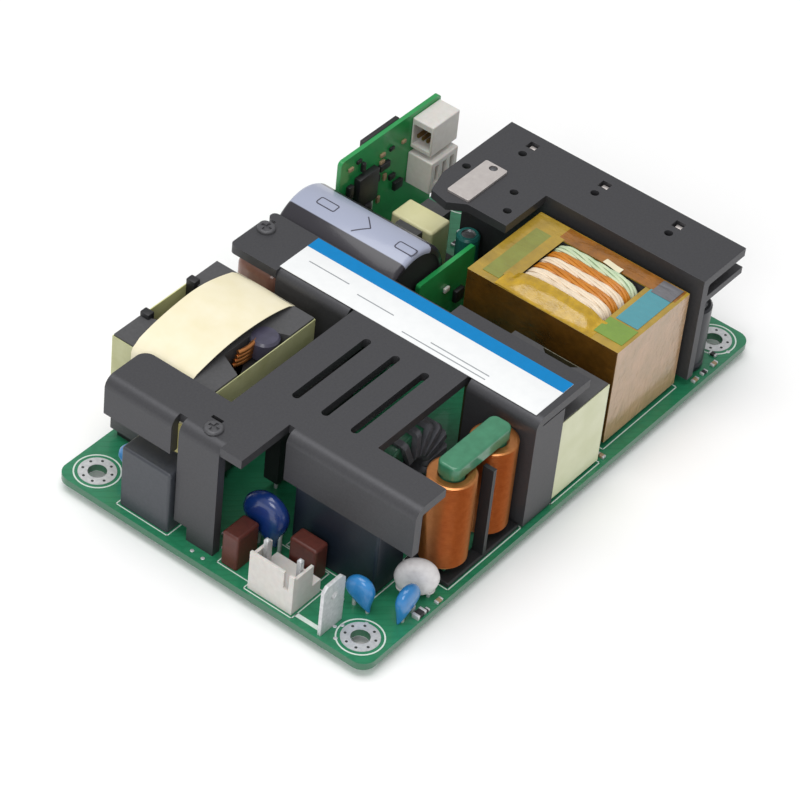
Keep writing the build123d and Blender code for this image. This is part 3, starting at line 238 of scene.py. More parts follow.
def spin(form, geom, angle, steps, whole):
    """Sweeps points and edges about the upright axis, into a closed ring where it goes all the way."""
    bmesh.ops.spin(
        form, geom=geom, cent=(0, 0, 0), axis=(0, 0, 1), angle=angle, steps=steps, use_merge=whole
    )


def lathe(points, steps=32):
    """Spins a profile of (radius, height) points about the upright axis into a closed shape."""
    form = bmesh.new()
    corners = [form.verts.new((radius, 0, height)) for radius, height in points]
    edges = [form.edges.new(pair) for pair in zip(corners, corners[1:])]
    spin(form, corners + edges, math.tau, steps, True)
    bmesh.ops.remove_doubles(form, verts=form.verts, dist=0.001)
    bmesh.ops.recalc_face_normals(form, faces=form.faces)
    return form


def hoop(inner, outer, low, high, steps=32):
    """A flat ring with a square section."""
    return lathe([(inner, low), (outer, low), (outer, high), (inner, high), (inner, low)], steps)


def settle(name, form, finishes, slot, *replaced):
    """Makes a piece of a mesh in millimetres, with creased edges kept sharp, that rides on the part."""
    shift(form, 0, 0, board_top)
    bmesh.ops.scale(form, vec=(MM, MM, MM), verts=form.verts)
    for face in form.faces:
        face.smooth = True
    for edge in form.edges:
        edge.smooth = len(edge.link_faces) == 2 and edge.calc_face_angle() < crease
    mesh = bpy.data.meshes.new(name)
    form.to_mesh(mesh)
    form.free()
    for finish in finishes:
        mesh.materials.append(finish)
    piece = bpy.data.objects.new(name, mesh)
    bpy.context.scene.collection.objects.link(piece)
    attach(piece, "root")
    if replaced:
        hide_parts(*replaced)
    return piece


def room(node):
    """A CAD node's lowest and highest corners, in millimetres above the board's top."""
    low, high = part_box(node)
    lift = Vector((0, 0, board_top))
    return low / MM - lift, high / MM - lift


def frame_line(form, x0, y0, x1, y1):
    """A printed rectangle of four thin lines."""
    for low, high in (
        ((x0, y0), (x1, y0 + line_width)),
        ((x0, y1 - line_width), (x1, y1)),
        ((x0, y0), (x0 + line_width, y1)),
        ((x1 - line_width, y0), (x1, y1)),
    ):
        put(form, brick((*low, 0), (*high, ink_height)))


pads_high = room("mounting_pads")[1]
hole_x = pads_high.x - pad_radius
hole_y = pads_high.y - pad_radius
print_form = bmesh.new()
ring = hoop(ring_radius - ring_line, ring_radius, 0, ink_height, 40)
for x in (-hole_x, hole_x):
    for y in (-hole_y, hole_y):
        put(print_form, ring, at(x, y))
for node, margin in (
    ("mains_header", 0.6), ("line_fuses", 0.5), ("line_choke_base", 0.45),
    ("left_x_capacitor", 0.5), ("front_x_capacitor", 0.6), ("resonant_choke_core", 0.7),
    ("transformer_core", 0.8), ("output_header", 0.5), ("standby_transformer_core", 0.8),
    ("film_capacitor", 0.5),
):
    low, high = room(node)
    near_y = max(low.y - margin, -print_limit)
    far_y = min(high.y + margin, print_limit)
    frame_line(print_form, low.x - margin, near_y, high.x + margin, far_y)
front_bar = brick((-61.9, -25.6, 0), (-60.9, -19.9, ink_height))
put(print_form, front_bar)
settle("board_print", print_form, [white_ink], "nylon_white")

# The corner pads: bare copper rings plated with tin round each fixing hole, on both faces,
# stitched to the inner copper by a ring of small plated holes.
stitch_radius = 2.95
stitch_size = 0.3
stitch_depth = 0.04
stitch_count = 8
pad_top = 0.09
# Plated tin is a soft grey mirror. The small holes are flat discs in painted shade, nearly black, for the
# dark inside of each hole.
tin = clouded("bright_tin", 0.45, 0.7, 0.03, "#E8E9EA", "#B4B7BA", metal=0.5)
painted_hole_shade = clouded("hole_painted_shade", 0.7, 0.5, 0.01, "#2A2D2C", "#3C4240")
dress("mounting_pads", tin)
# Each small hole: a thin disc of painted shade on the pad.
stitches = bmesh.new()
stitch = lathe([(0, 0), (stitch_size, 0), (stitch_size, stitch_depth), (0, stitch_depth)], 8)
for x in (-hole_x, hole_x):
    for y in (-hole_y, hole_y):
        for n in range(stitch_count):
            angle = math.tau * (n + 0.5) / stitch_count
            reach_x, reach_y = stitch_radius * math.cos(angle), stitch_radius * math.sin(angle)
            put(stitches, stitch, at(x + reach_x, y + reach_y, pad_top))
settle("pad_stitches", stitches, [painted_hole_shade], "tinned")

# Test points: small round spots on the board where the lacquer is left off, so that a probe can
# touch the copper. Each is tinned, and the tin stands up a little in the middle.
test_points = bmesh.new()
spot = lathe([(0, 0), (0.42, 0), (0.42, 0.03), (0.3, 0.07), (0, 0.08)], 14)
for x, y in (
    (-61.2, -29.2), (-60.1, -30.4), (-58.9, -27.2), (-57.7, -28.0), (-54.3, -31.0),
    (-62.0, 2.2), (-61.8, 5.0), (-59.6, 6.6), (49.0, -33.6), (56.6, -36.8),
    (58.4, -24.0), (57.2, 17.0), (24.8, 26.0), (43.0, 31.2),
):
    put(test_points, spot, at(x, y))
settle("test_points", test_points, [tin], "tinned")

# Surface-mounted parts: ceramic capacitors and resistors the size of a rice grain, each with a
# dull body between two tinned end caps, and a few black moulded chips. All lie on solder.
chip_edge = 0.06
cap_share = 0.24
cap_stand = 0.02
grain_size = (1.7, 0.9, 0.55)
# Moulded epoxy is nearly black, half matt; fired ceramic is sandy brown with a dull shine.
moulded_black = clouded("moulded_epoxy", 0.5, 0.35, 0.012, "#222225", "#121214", ior=1.55)
ceramic = clouded("fired_ceramic", 0.45, 0.4, 0.01, "#B39A7A", "#8C7558")


def chip(form, x, y, long, wide, high, turn=0, body=0):
    """A small part lying on the board: its body, then its two end caps."""
    place = at(x, y, 0, turn)
    half, side = long / 2, wide / 2
    bare = half * (1 - cap_share)
    put(form, brick((-bare, -side, 0), (bare, side, high), chip_edge), place, body)
    for way in (-1, 1):
        ends = sorted((way * half, way * half * (1 - 2 * cap_share)))
        cap = brick((ends[0], -side - cap_stand, 0), (ends[1], side + cap_stand, high + cap_stand), chip_edge)
        put(form, cap, place, 2)


small_parts = bmesh.new()
for x, y, turn, body in (
    (-58.2, -23.9, 0, 1), (-55.6, -23.9, 0, 0), (-52.9, -23.4, 90, 1), (-52.9, -20.6, 90, 0),
    (-44.5, -37.2, 0, 0), (-40.6, -37.3, 0, 1), (-56.8, 0.9, 0, 1), (-54.4, 2.9, 90, 0),
    (13.0, -36.2, 90, 1), (44.5, -36.9, 0, 1), (47.6, -36.9, 0, 0), (51.3, -36.9, 0, 1),
    (53.6, -35.1, 90, 0), (60.8, -27.2, 90, 1), (58.6, -26.3, 0, 0), (61.4, -23.5, 90, 0),
    (59.2, -22.2, 0, 1), (60.5, 12.6, 90, 0), (58.4, 14.6, 0, 1), (60.9, 18.2, 90, 1),
    (59.0, 21.5, 0, 0), (22.0, 14.2, 0, 0), (24.0, 17.4, 90, 1), (21.4, 19.2, 0, 1),
    (44.8, 24.6, 0, 0), (48.4, 25.8, 90, 1), (56.6, 25.2, 0, 1),
):
    chip(small_parts, x, y, *grain_size, turn, body)
for x, y, long, wide, high in (
    (-46.0, -36.9, 2.6, 1.5, 1.0),
    (55.2, -30.2, 3.0, 1.6, 1.0),
    (60.2, 7.6, 3.4, 2.4, 1.2),
):
    chip(small_parts, x, y, long, wide, high)
low, high = room("feedback_board")
for x, z, wide, tall, thick in ((7.2, 6.3, 6.4, 4.6, 3.4), (13.2, 11.5, 2.8, 3.0, 1.1)):
    part = brick((-wide / 2, -thick, -tall / 2), (wide / 2, 0, tall / 2), 0.25)
    put(small_parts, part, at(low.x + x, low.y, z))
settle("small_parts", small_parts, [moulded_black, ceramic, tin], "black_mould", "surface_mount_parts")

# The joints: every lead is soldered underneath, where the molten tin climbs it as a small
# hollow-sided cone with the cut lead standing out of it.
joint_foot = [(0, -1.62), (1.1, -1.62), (0.98, -1.8), (0.68, -2.1)]
joint_tip = [(0.5, -2.6), (0.42, -3.3), (0.34, -3.6), (0, -3.6)]
joint = lathe(joint_foot + joint_tip, 12)
solder_form = bmesh.new()


def islands(form):
    """A mesh's separate pieces, each as a list of its points."""
    waiting = set(form.verts)
    found = []
    while waiting:
        reached = [waiting.pop()]
        for corner in reached:
            for edge in corner.link_edges:
                other = edge.other_vert(corner)
                if other in waiting:
                    waiting.remove(other)
                    reached.append(other)
        found.append(reached)
    return found


flat_joints = bmesh.new()
flat_joints.from_mesh(cad["solder_joints"].data)
bmesh.ops.remove_doubles(flat_joints, verts=flat_joints.verts, dist=0.002 * MM)
for group in islands(flat_joints):
    centre = sum((corner.co for corner in group), Vector()) / len(group) / MM
    put(solder_form, joint, at(centre.x, centre.y))
flat_joints.free()
settle("soldered_leads", solder_form, [tin], "tinned", "solder_joints")
dress("component_leads", tin)

# The primary heatsink: one folded sheet of 2 mm aluminium, dark anodised. It stands on its leg
# and webs, spans the mains side, and its right-hand strip carries the rating label.
sheet_edge = 0.22
sharp_turn = math.radians(35)
# The anodic layer is a dark, dull grey through which the metal shines faintly.
anodised = clouded(
    "anodised_aluminium", 0.46, 0.45, 0.01, "#565659", "#454548", 0.7, metal=0.55, specular=0.4
)


def merged_copy(node):
    """A copy of a CAD node's mesh in millimetres, its loose triangles joined into clean faces."""
    form = bmesh.new()
    form.from_mesh(cad[node].data)
    bmesh.ops.scale(form, vec=(1 / MM, 1 / MM, 1 / MM), verts=form.verts)
    shift(form, 0, 0, -board_top)
    bmesh.ops.remove_doubles(form, verts=form.verts, dist=0.002)
    bmesh.ops.dissolve_limit(form, angle_limit=math.radians(0.5), verts=form.verts, edges=form.edges)
    return form


def round_off(form, edges, size, segments):
    """Rounds off some edges of a mesh by size millimetres, less where a face is too narrow for it."""
    bmesh.ops.bevel(
        form,
        geom=edges,
        offset=size,
        segments=segments,
        profile=0.5,
        affect="EDGES",
        material=-1,
        clamp_overlap=True,
    )


def soften(form, size):
    """Rounds off all of a mesh's sharp edges by size millimetres."""
    rims = [e for e in form.edges if len(e.link_faces) == 2 and e.calc_face_angle() > sharp_turn]
    round_off(form, rims, size, 2)
    return form


def soft_copy(node, size):
    """A copy of a CAD node's mesh with its sharp edges rounded off by size millimetres."""
    return soften(merged_copy(node), size)


def weigh(piece):
    """Keeps a piece's flat faces evenly shaded beside their rounded edges."""
    even = piece.modifiers.new("even_shading", "WEIGHTED_NORMAL")
    even.keep_sharp = True
    even.weight = 100


def rounded(name, node, edge, finish, slot):
    """A piece that keeps its CAD node's shape, with its edges rounded off by edge millimetres."""
    weigh(settle(name, soft_copy(node, edge), [finish], slot, node))


# The strip's far corners are rounded first, then all the other edges are broken.
strip_corner = 1.8
top_level = 20
corner_height = 1.5
folded = merged_copy("primary_heatsink")
far_y = room("primary_heatsink")[1].y - 0.1
corners = []
for edge in folded.edges:
    a, b = edge.verts[0].co, edge.verts[1].co
    upright = abs(a.z - b.z) > corner_height and (a - b).xy.length < 0.01
    if upright and min(a.z, b.z) > top_level and a.y > far_y:
        corners.append(edge)
round_off(folded, corners, strip_corner, 4)
weigh(settle("folded_heatsink", soften(folded, sheet_edge), [anodised], "anodised", "primary_heatsink"))

# Its fasteners: pan-head steel screws with a recess, turned into the sheet from outside. They are
# blackened with an oxide, a dark grey skin with a soft metal shine.
oxide_steel = clouded("black_oxide_steel", 0.45, 0.5, 0.01, "#636366", "#424245", metal=0.3)
rounded("pan_head_screws", "heatsink_screws", 0.08, oxide_steel, "bright_steel")
dress("package_screws", oxide_steel)

# The insulating sheet behind the front flange: clear polyester film gone slightly yellow, thin
# enough to let light through. It is cut square and stands on edge.
film = clouded("yellowed_film", 0.25, 3.0, 0.02, "#DAD38F", "#C6BC72", clear=0.35, ior=1.5)
dress("insulation_sheet", film)

# The label: a printed film pasted on the strip, with a matt white field that spreads the light, a
# flat blue stripe along one side and a few fine grey bars. The inks have hardly any gloss.
stripe_width = 3.4
print_lift = 0.02
label_white = clouded("matt_label_film", 0.5, 2.0, 0.008, "#F1F2F2", "#E6E8E9")
stripe_blue = clouded("blue_print", 0.5, 1.5, 0.005, "#0081C4", "#0079B6", specular=0.2)
bar_grey = clouded("grey_print", 0.55, 0.6, 0.005, "#8B8F93", "#A2A6A9")
low, high = room("rating_label")
label = brick(low, high, 0.05)
ink_low, ink_high = high.z - 0.01, high.z + print_lift
label_rim = 0.02
stripe_low = (high.x - stripe_width, low.y + label_rim, ink_low)
put(label, brick(stripe_low, (high.x - label_rim, high.y - label_rim, ink_high)), finish=1)
bar_x, bar_y = low.x + 1.1, low.y + 13.0
bar_width = 0.28
bar_pitch = 1.3
for row, (start, length) in enumerate(((0, 20), (0, 14), (24, 9), (36, 10))):
    x0, y0 = bar_x + bar_pitch * row, bar_y + start
    put(label, brick((x0, y0, ink_low), (x0 + bar_width, y0 + length, ink_high)), finish=2)
settle("label_film", label, [label_white, stripe_blue, bar_grey], "label_white", "rating_label")

# The output heatsink: an aluminium extrusion, a thick top plate and a thin fin on one wall, sawn
# to length, punched and dark anodised. Ends of spring clips show in its slots, and a plate of the
# same zinc-plated steel, a bright and slightly warm grey, is riveted to its arm.
extrusion_edge = 0.18
clip_depth = 0.7
first_slot = (-3.5, -8.0)
slot_pitch = 18.2
steel = clouded("zinc_plated_steel", 0.45, 1.5, 0.01, "#E9E3DF", "#CFC7C4", metal=0.85)
rounded("extruded_heatsink", "output_heatsink", extrusion_edge, anodised, "anodised")
low, high = room("output_heatsink")
clips = bmesh.new()
for n in range(3):
    clip = shift(brick((-0.2, -0.9, -5.0), (0.8, 0.7, -clip_depth), 0.1), *first_slot)
    put(clips, clip, at(high.x, high.y - slot_pitch * n, high.z))
settle("clip_ends", clips, [steel], "bright_steel")
rounded("clamp_plate", "output_clamp_plate", 0.12, steel, "bright_steel")
low, high = room("output_clamp_plate")
rivet = lathe([(0, -0.4), (0.75, -0.4), (0.75, 0.0), (0.5, 0.18), (0, 0.2)], 16)
rivet_sunk, rivet_inset = 0.25, 1.3
shift(rivet, high.x - rivet_inset, (low.y + high.y) / 2, high.z - rivet_sunk)
settle("clamp_rivet", rivet, [oxide_steel], "bright_steel")

# The transistors and rectifiers: black epoxy cases moulded round their chips, screwed or clipped
# to the heatsinks' walls and soldered into the board by their leads.
for node, name, edge in (
    ("switching_transistors", "primary_transistors", 0.15),
    ("output_rectifiers", "output_rectifiers", 0.15),
    ("bridge_rectifier", "rectifier_bridge", 0.25),
):
    rounded(name, node, edge, moulded_black, "black_mould")

# The boost choke: two ferrite halves pressed round a wound bobbin. Ferrite is a fired ceramic,
# charcoal grey and matt with a ground, slightly chipped edge.
ferrite = clouded("sintered_ferrite", 0.62, 0.7, 0.03, "#525254", "#3A3A3C", 0.7, ior=1.6)
notch_half, notch_start = 7.0, 8.0
notch_deeper = 1.2
notch_wider = 0.75
boost = merged_copy("boost_choke_core")
low, high = room("boost_choke_core")
boost_middle = (low + high) / 2
for corner in boost.verts:
    dx, dy = corner.co.x - boost_middle.x, corner.co.y - boost_middle.y
    if abs(abs(dx) - notch_half) < 0.06 and abs(dy) > notch_start - 0.1:
        corner.co.x += math.copysign(notch_wider, dx)
    if abs(dx) < notch_half + 0.1 and abs(abs(dy) - notch_start) < 0.06:
        corner.co.y -= math.copysign(notch_deeper, dy)
weigh(settle("boost_core", soften(boost, 0.3), [ferrite], "ferrite", "boost_choke_core"))
dress("boost_choke_bobbin", moulded_black)
tabs = bmesh.new()
tab_foot = 21.0
for dx, dy, top in ((-6.7, 11.2, 27.0), (6.7, 11.2, 27.0), (-6.8, -9.6, 24.6), (6.8, -9.6, 24.6)):
    tab = brick((-0.9, -1.1, tab_foot), (0.9, 1.1, top), 0.25)
    put(tabs, tab, at(boost_middle.x + dx, boost_middle.y + dy))
settle("bobbin_tabs", tabs, [moulded_black], "black_mould")

# Its winding: round enamelled copper wire, laid turn by turn. The enamel is clear and glossy, so
# the copper keeps its orange.
wire_size = 1.15
arc_steps = 14
enamelled_copper = clouded(
    "enamelled_copper", 0.28, 1.0, 0.01, "#D08B4C", "#B26A34", metal=0.85, coat=0.5, coat_rough=0.15
)


def swing(form, axis, turn=90):
    """Turns a mesh about an axis through the origin, by some degrees."""
    about = Matrix.Rotation(math.radians(turn), 3, axis)
    bmesh.ops.rotate(form, cent=(0, 0, 0), matrix=about, verts=form.verts)


def wire_end(radius, wide, tall, sides):
    """The outline of a wire's end, standing at a distance from the upright axis."""
    form = bmesh.new()
    bmesh.ops.create_circle(form, radius=0.5, segments=sides)
    bmesh.ops.scale(form, vec=(wide, tall, 1), verts=form.verts)
    swing(form, "X")
    return shift(form, radius, 0)


def coil(radius, wide, tall, turns, pitch, steps=48, sides=8):
    """A stack of turns about the upright axis; a wire's section is wide by tall millimetres."""
    turn = wire_end(radius, wide, tall, sides)
    spin(turn, turn.verts[:] + turn.edges[:], math.tau, steps, True)
    bmesh.ops.remove_doubles(turn, verts=turn.verts, dist=0.001)
    bmesh.ops.recalc_face_normals(turn, faces=turn.faces)
    form = bmesh.new()
    for n in range(turns):
        put(form, turn, at(0, 0, (n - (turns - 1) / 2) * pitch))
    return form


low, high = room("boost_choke_winding")
middle = (low + high) / 2
turns = int((high.z - low.z) / wire_size)
outside = (high.x - low.x) / 2
core_radius = 7.4
wound = bmesh.new()
put(wound, coil(outside - wire_size / 2, wire_size, wire_size, turns, wire_size), at(*middle))
put(wound, hoop(core_radius, outside - wire_size * 0.6, low.z, high.z), at(middle.x, middle.y))
settle("boost_coil", wound, [enamelled_copper], "copper", "boost_choke_winding")


def part_turn(radius, size, height, start, sweep):
    """Part of one turn of round wire about the upright axis, from start round by sweep degrees."""
    form = shift(wire_end(radius, size, size, 10), 0, 0, height)
    swing(form, "Z", start)
    spin(form, form.verts[:] + form.edges[:], math.radians(sweep), arc_steps, False)
    bmesh.ops.holes_fill(form, edges=form.edges, sides=12)
    bmesh.ops.recalc_face_normals(form, faces=form.faces)
    return form


lead_turns = bmesh.new()
lead_radius, lead_size, lead_level = 8.1, 1.1, 22.4
for n in range(4):
    turn = part_turn(lead_radius + 0.12 * n, lead_size, lead_level + n * 1.06, -114 + 2 * n, 36)
    put(lead_turns, turn, at(boost_middle.x, boost_middle.y))
settle("boost_lead_turns", lead_turns, [enamelled_copper], "copper")
# A sleeve of soft plastic covers the lead's end: violet-grey, with the dull gloss of a skin.
violet_sleeve = clouded("violet_grey_sleeve", 0.35, 1.5, 0.02, "#525064", "#383645", coat=0.2)
sleeve_x, sleeve_y = 4.3, -8.9
sleeve_form = lathe([(0, 21.9), (2.9, 21.9), (3.0, 22.1), (3.0, 25.6), (2.6, 26.1), (0, 26.15)], 28)
shift(sleeve_form, boost_middle.x + sleeve_x, boost_middle.y + sleeve_y)
settle("boost_sleeve", sleeve_form, [violet_sleeve], "black_mould")

# Its tapes: thin polyester film with a matt cream or a pale yellow face. A wide strip runs over
# the core's top and down both ends, and a band goes round its sides. Both lie a little unevenly.
wave_size = 6.0
fold = 1.2
end_gap = 0.33
cream_tape = clouded("cream_polyester_tape", 0.5, 5.0, 0.05, "#F6EFD8", "#E8DDB4", ior=1.5)
yellow_tape = clouded("yellow_polyester_tape", 0.38, 4.0, 0.05, "#CBCCA4", "#A3A46A", ior=1.5, coat=0.2)


def ripple(form, height, seed):
    """Moves a mesh's points up and down by a smooth random amount, as pasted film lies."""
    rng = random.Random(seed)
    start = Vector((rng.uniform(0, 50), rng.uniform(0, 50), rng.uniform(0, 50)))
    for corner in form.verts:
        a = (corner.co + start) / wave_size
        corner.co.z += height * (math.sin(a.x * 2.3 + a.y) + math.sin(a.y * 3.1 - a.x * 1.7)) / 2


def thicken(form, thick):
    """Gives a sheet of faces its thickness."""
    bmesh.ops.solidify(form, geom=form.faces, thickness=thick)
    bmesh.ops.recalc_face_normals(form, faces=form.faces)


def pasted_strip(half, width, top, bottom, thick, bulge):
    """A strip over a block's top and down its two ends: a fine grid, folded at half each way."""
    drop = top - bottom
    form = bmesh.new()
    bmesh.ops.create_grid(form, x_segments=72, y_segments=16, size=1)
    bmesh.ops.scale(form, vec=(half + drop, width / 2, 1), verts=form.verts)
    ripple(form, 0.12, 4)
    reach = 4 * fold / math.pi
    for corner in form.verts:
        x, y, z = corner.co
        over = abs(x) - half
        swell = bulge * max(0.0, 1 - (x / half) ** 2) * (1 + 0.16 * (2 * y / width))
        if over <= -fold:
            corner.co = (x, y, top + z + swell)
        elif over < fold:
            turn = (over + fold) / (2 * fold) * math.pi / 2
            away = half - fold + reach * math.sin(turn)
            corner.co = (math.copysign(away, x), y, top - reach * (1 - math.cos(turn)) + z)
        else:
            corner.co = (math.copysign(half + end_gap + z * 0.4, x), y, top - over + fold - reach)
    thicken(form, thick)
    return form


tape_bulge = 2.7
low, high = room("boost_choke_top_tape")
half = (high.x - low.x) / 2 - 0.05
strip = pasted_strip(half, high.y - low.y, high.z + 0.05, low.z + 0.5, 0.12, tape_bulge)
shift(strip, (low.x + high.x) / 2, (low.y + high.y) / 2)
settle("boost_top_strip", strip, [cream_tape], "cream_tape", "boost_choke_top_tape")
# The far face of the band takes a brighter copy of the yellow film, as painted light.
painted_light_band = clouded("yellow_tape_painted_lit", 0.38, 4.0, 0.05, "#EDEDB0", "#CFCF86", ior=1.5, coat=0.2)
band = soft_copy("boost_choke_side_tape", 0.1)
# Faces at the far side get the painted light.
for face in band.faces:
    face.material_index = 1 if face.calc_center_median().y > boost_middle.y + 10 else 0
weigh(settle("boost_side_band", band, [yellow_tape, painted_light_band], "yellow_tape", "boost_choke_side_tape"))

# The main transformer: a lying ferrite core round a bobbin wound with stranded wire, wrapped in
# amber film tape with coloured patches over the joints of the core. The strands are sleeved in
# nylon of four colours, whose softly glossy ridges show the lay of the wire.
rounded("trafo_core", "transformer_core", 0.3, ferrite, "ferrite")
dress("transformer_bobbin", moulded_black)
dress("transformer_primary", enamelled_copper)
bundle_top = 25.9
bundle_half = 11.0
squareness = 5.0
strand_count = 5
strand_twists = 4
strand_size = 0.8
orange_sleeve = clouded("orange_sleeved_strands", 0.42, 2.5, 0.02, "#D88E26", "#B4680F", coat=0.2)
cream_sleeve = clouded("cream_sleeved_strands", 0.45, 2.5, 0.02, "#F6E9D4", "#DCC3A2", coat=0.15)
mint_sleeve = clouded("mint_cream_sleeved_strands", 0.45, 2.5, 0.02, "#E3E4C6", "#A9C9A0", coat=0.15)
olive_sleeve = clouded("olive_sleeved_strands", 0.42, 2.5, 0.02, "#B8921F", "#8A6A12", coat=0.2)


def bundle(wide):
    """Stranded wire laid round the upright axis and pressed into a rounded rectangle."""
    form = bmesh.new()
    for n in range(strand_count):
        strand = coil(bundle_half - strand_size, strand_size, strand_size, 1, 0, 96, 7)
        for corner in strand.verts:
            angle = math.atan2(corner.co.y, corner.co.x)
            lay = strand_twists * angle + math.tau * n / strand_count
            stray = strand_size * 0.38 * math.sin(lay)
            corner.co.x += stray * math.cos(angle)
            corner.co.y += stray * math.sin(angle)
            corner.co.z += (wide - strand_size) / 2 * math.cos(lay)
        put(form, strand)
    for corner in form.verts:
        angle = math.atan2(corner.co.y, corner.co.x)
        depth = bundle_half - math.hypot(corner.co.x, corner.co.y)
        edge_x = abs(math.cos(angle)) / bundle_tall
        edge_y = abs(math.sin(angle)) / bundle_half
        reach = (edge_x ** squareness + edge_y ** squareness) ** (-1 / squareness) - depth
        corner.co.x = reach * math.cos(angle)
        corner.co.y = reach * math.sin(angle)
    return form


low, high = room("transformer_white_secondary")
core_low = room("transformer_core")[0]
axis_y = (low.y + high.y) / 2
bundle_tall = (bundle_top - low.z) / 2
axis_z = bundle_top - bundle_tall
bundle_x = core_low.x + 3.95
white_turns = bmesh.new()
orange_turns = bmesh.new()
for wide, form, finish, lean in (
    (2.0, orange_turns, 1, 2.0),
    (1.9, white_turns, 0, 1.5),
    (1.8, white_turns, 0, 1.2),
    (2.3, orange_turns, 0, 0.8),
    (2.2, white_turns, 0, 0.3),
    (2.2, orange_turns, 0, -0.4),
    (2.5, white_turns, 1, -1.0),
):
    place = at(bundle_x + wide / 2, axis_y, axis_z, lean) @ Matrix.Rotation(math.pi / 2, 4, "Y")
    put(form, bundle(wide), place, finish)
    bundle_x += wide
whites, oranges = [cream_sleeve, mint_sleeve], [orange_sleeve, olive_sleeve]
settle("cream_bundles", white_turns, whites, "white_wire", "transformer_white_secondary")
settle("orange_bundles", orange_turns, oranges, "orange_wire", "transformer_orange_secondary")

# The transformer's tapes: thin film, clear amber and glossy, so that it looks brown where it lies
# close to the dark core and golden where it lifts, with long fine creases. The face towards the
# resonant choke is darker still, with painted shade for the narrow gap there. One piece bridges the
# near bar and the first turns, and small coloured pieces hold the joints.
crease_scale = 2 / (1.5 * MM)


def film_tape(name, colour, shade, size, clearness=1.0):
    """A film tape's finish: mottled in patches of a real size, and creased in long fine folds."""
    skin = {"Roughness": 0.26, "Coat Weight": 0.6, "Coat Roughness": 0.12, "IOR": 1.6, "Alpha": clearness}
    made, shader = surface(name, colour, skin)
    place = grain(made, shader, size, 0.02, colour, shade, 0.6)
    stretch = add(made, "Mapping", {"Scale": (0.5, 0.22, 0.3)}, [("Vector", place.outputs["Object"])])
    folds = add(
        made,
        "TexNoise",
        {"Scale": crease_scale, "Detail": 3.0, "Distortion": 0.6},
        [("Vector", stretch.outputs[0])],
    )
    relief(made, shader, folds.outputs["Fac"], 0.25)
    return made


amber_tape = film_tape("amber_polyimide_tape", "#C9A434", "#7C6622", 5.0)
# The face beside the resonant choke: brown of amber film on the core, made darker as painted shade of the
# gap.
brown_film_painted_shade = film_tape("amber_film_with_painted_shade", "#7A5118", "#1E160C", 5.0)
orange_film = film_tape("orange_film", "#B87418", "#54320C", 3.0)
tan_tape = film_tape("tan_film", "#CFA07A", "#8C7A50", 7.0)
clear_amber = film_tape("clear_amber_film", "#F2C420", "#8E6A08", 2.0, 0.76)
green_film = film_tape("green_film_under_amber", "#8C9540", "#7C772C", 4.0)
grey_film = film_tape("grey_film", "#77777F", "#5C5A5A", 3.0)
teal_tape = film_tape("teal_polyester_tape", "#4E9AA6", "#468D98", 3.0)
green_tape = film_tape("green_polyester_tape", "#80A03A", "#6A8A34", 3.0)
film_thick = 0.05
wrap = soft_copy("transformer_tape", 0.1)
low, high = room("transformer_tape")
wrap_top = high.z
for face in wrap.faces:
    middle = face.calc_center_median()
    if face.normal.y < -0.8 and middle.y < low.y + 0.3:
        face.material_index = 1
    # The face towards the resonant choke takes the brown film with its painted shade.
    if face.normal.x < -0.8 and middle.x < low.x + 0.3:
        face.material_index = 2
weigh(settle("amber_wrap", wrap, [amber_tape, tan_tape, brown_film_painted_shade], "amber_tape", "transformer_tape"))
dress("transformer_teal_patch", teal_tape)
dress("transformer_green_patch", green_tape)


def patch(x0, y0, x1, y1, lift, seed):
    """A piece of tape on the transformer's top, not quite flat."""
    form = bmesh.new()
    bmesh.ops.create_grid(form, x_segments=14, y_segments=24, size=0.5)
    bmesh.ops.scale(form, vec=(x1 - x0, y1 - y0, 1), verts=form.verts)
    ripple(form, 0.05, seed)
    shift(form, (x0 + x1) / 2, (y0 + y1) / 2, wrap_top + lift)
    thicken(form, film_thick)
    return form


top_films = bmesh.new()
near_x, turns_end = core_low.x, axis_y + bundle_half
for x0, y0, x1, y1, lift, seed, finish in (
    (near_x + 19.9, low.y + 0.7, high.x - 0.2, turns_end - 0.2, 0.09, 7, 0),
    (near_x + 1.6, high.y - 6.4, near_x + 19.4, high.y - 2.4, 0.09, 9, 1),
    (near_x + 3.2, turns_end - 1.5, near_x + 20.3, high.y - 6.2, 0.16, 10, 3),
    (near_x + 19.2, low.y + 1.2, high.x - 0.5, low.y + 6.0, 0.2, 11, 2),
):
    put(top_films, patch(x0, y0, x1, y1, lift, seed), finish=finish)
settle("top_films", top_films, [orange_film, green_film, grey_film, amber_tape], "amber_tape")
bridge = bmesh.new()
bmesh.ops.create_grid(bridge, x_segments=16, y_segments=48, size=0.5)
film_x0, film_x1 = low.x + 0.15, core_low.x + 5.6
film_half = bundle_half + 0.7
film_rest = wrap_top + 0.08
rise_share = 0.62
for corner in bridge.verts:
    share, side = corner.co.x + 0.5, corner.co.y * 2
    hold = max(0.0, 1 - abs(side) ** squareness) ** (1 / squareness)
    crest = max(film_rest, axis_z + bundle_tall * hold + 0.12)
    rise = min(1.0, share / rise_share)
    rise = rise * rise * (3 - 2 * rise)
    x, y = film_x0 + (film_x1 - film_x0) * share, axis_y + film_half * side
    corner.co = (x, y, film_rest + (crest - film_rest) * rise)
ripple(bridge, 0.16, 21)
for corner in bridge.verts:
    corner.co.z = max(corner.co.z, film_rest - 0.02)
thicken(bridge, film_thick)
settle("bridging_film", bridge, [clear_amber], "amber_tape")
frayed = patch(core_low.x + 19.0, -21.2, core_low.x + 20.7, -17.2, 0.45, 15)
ripple(frayed, 0.8, 17)
settle("frayed_tape_end", frayed, [cream_tape], "cream_tape")

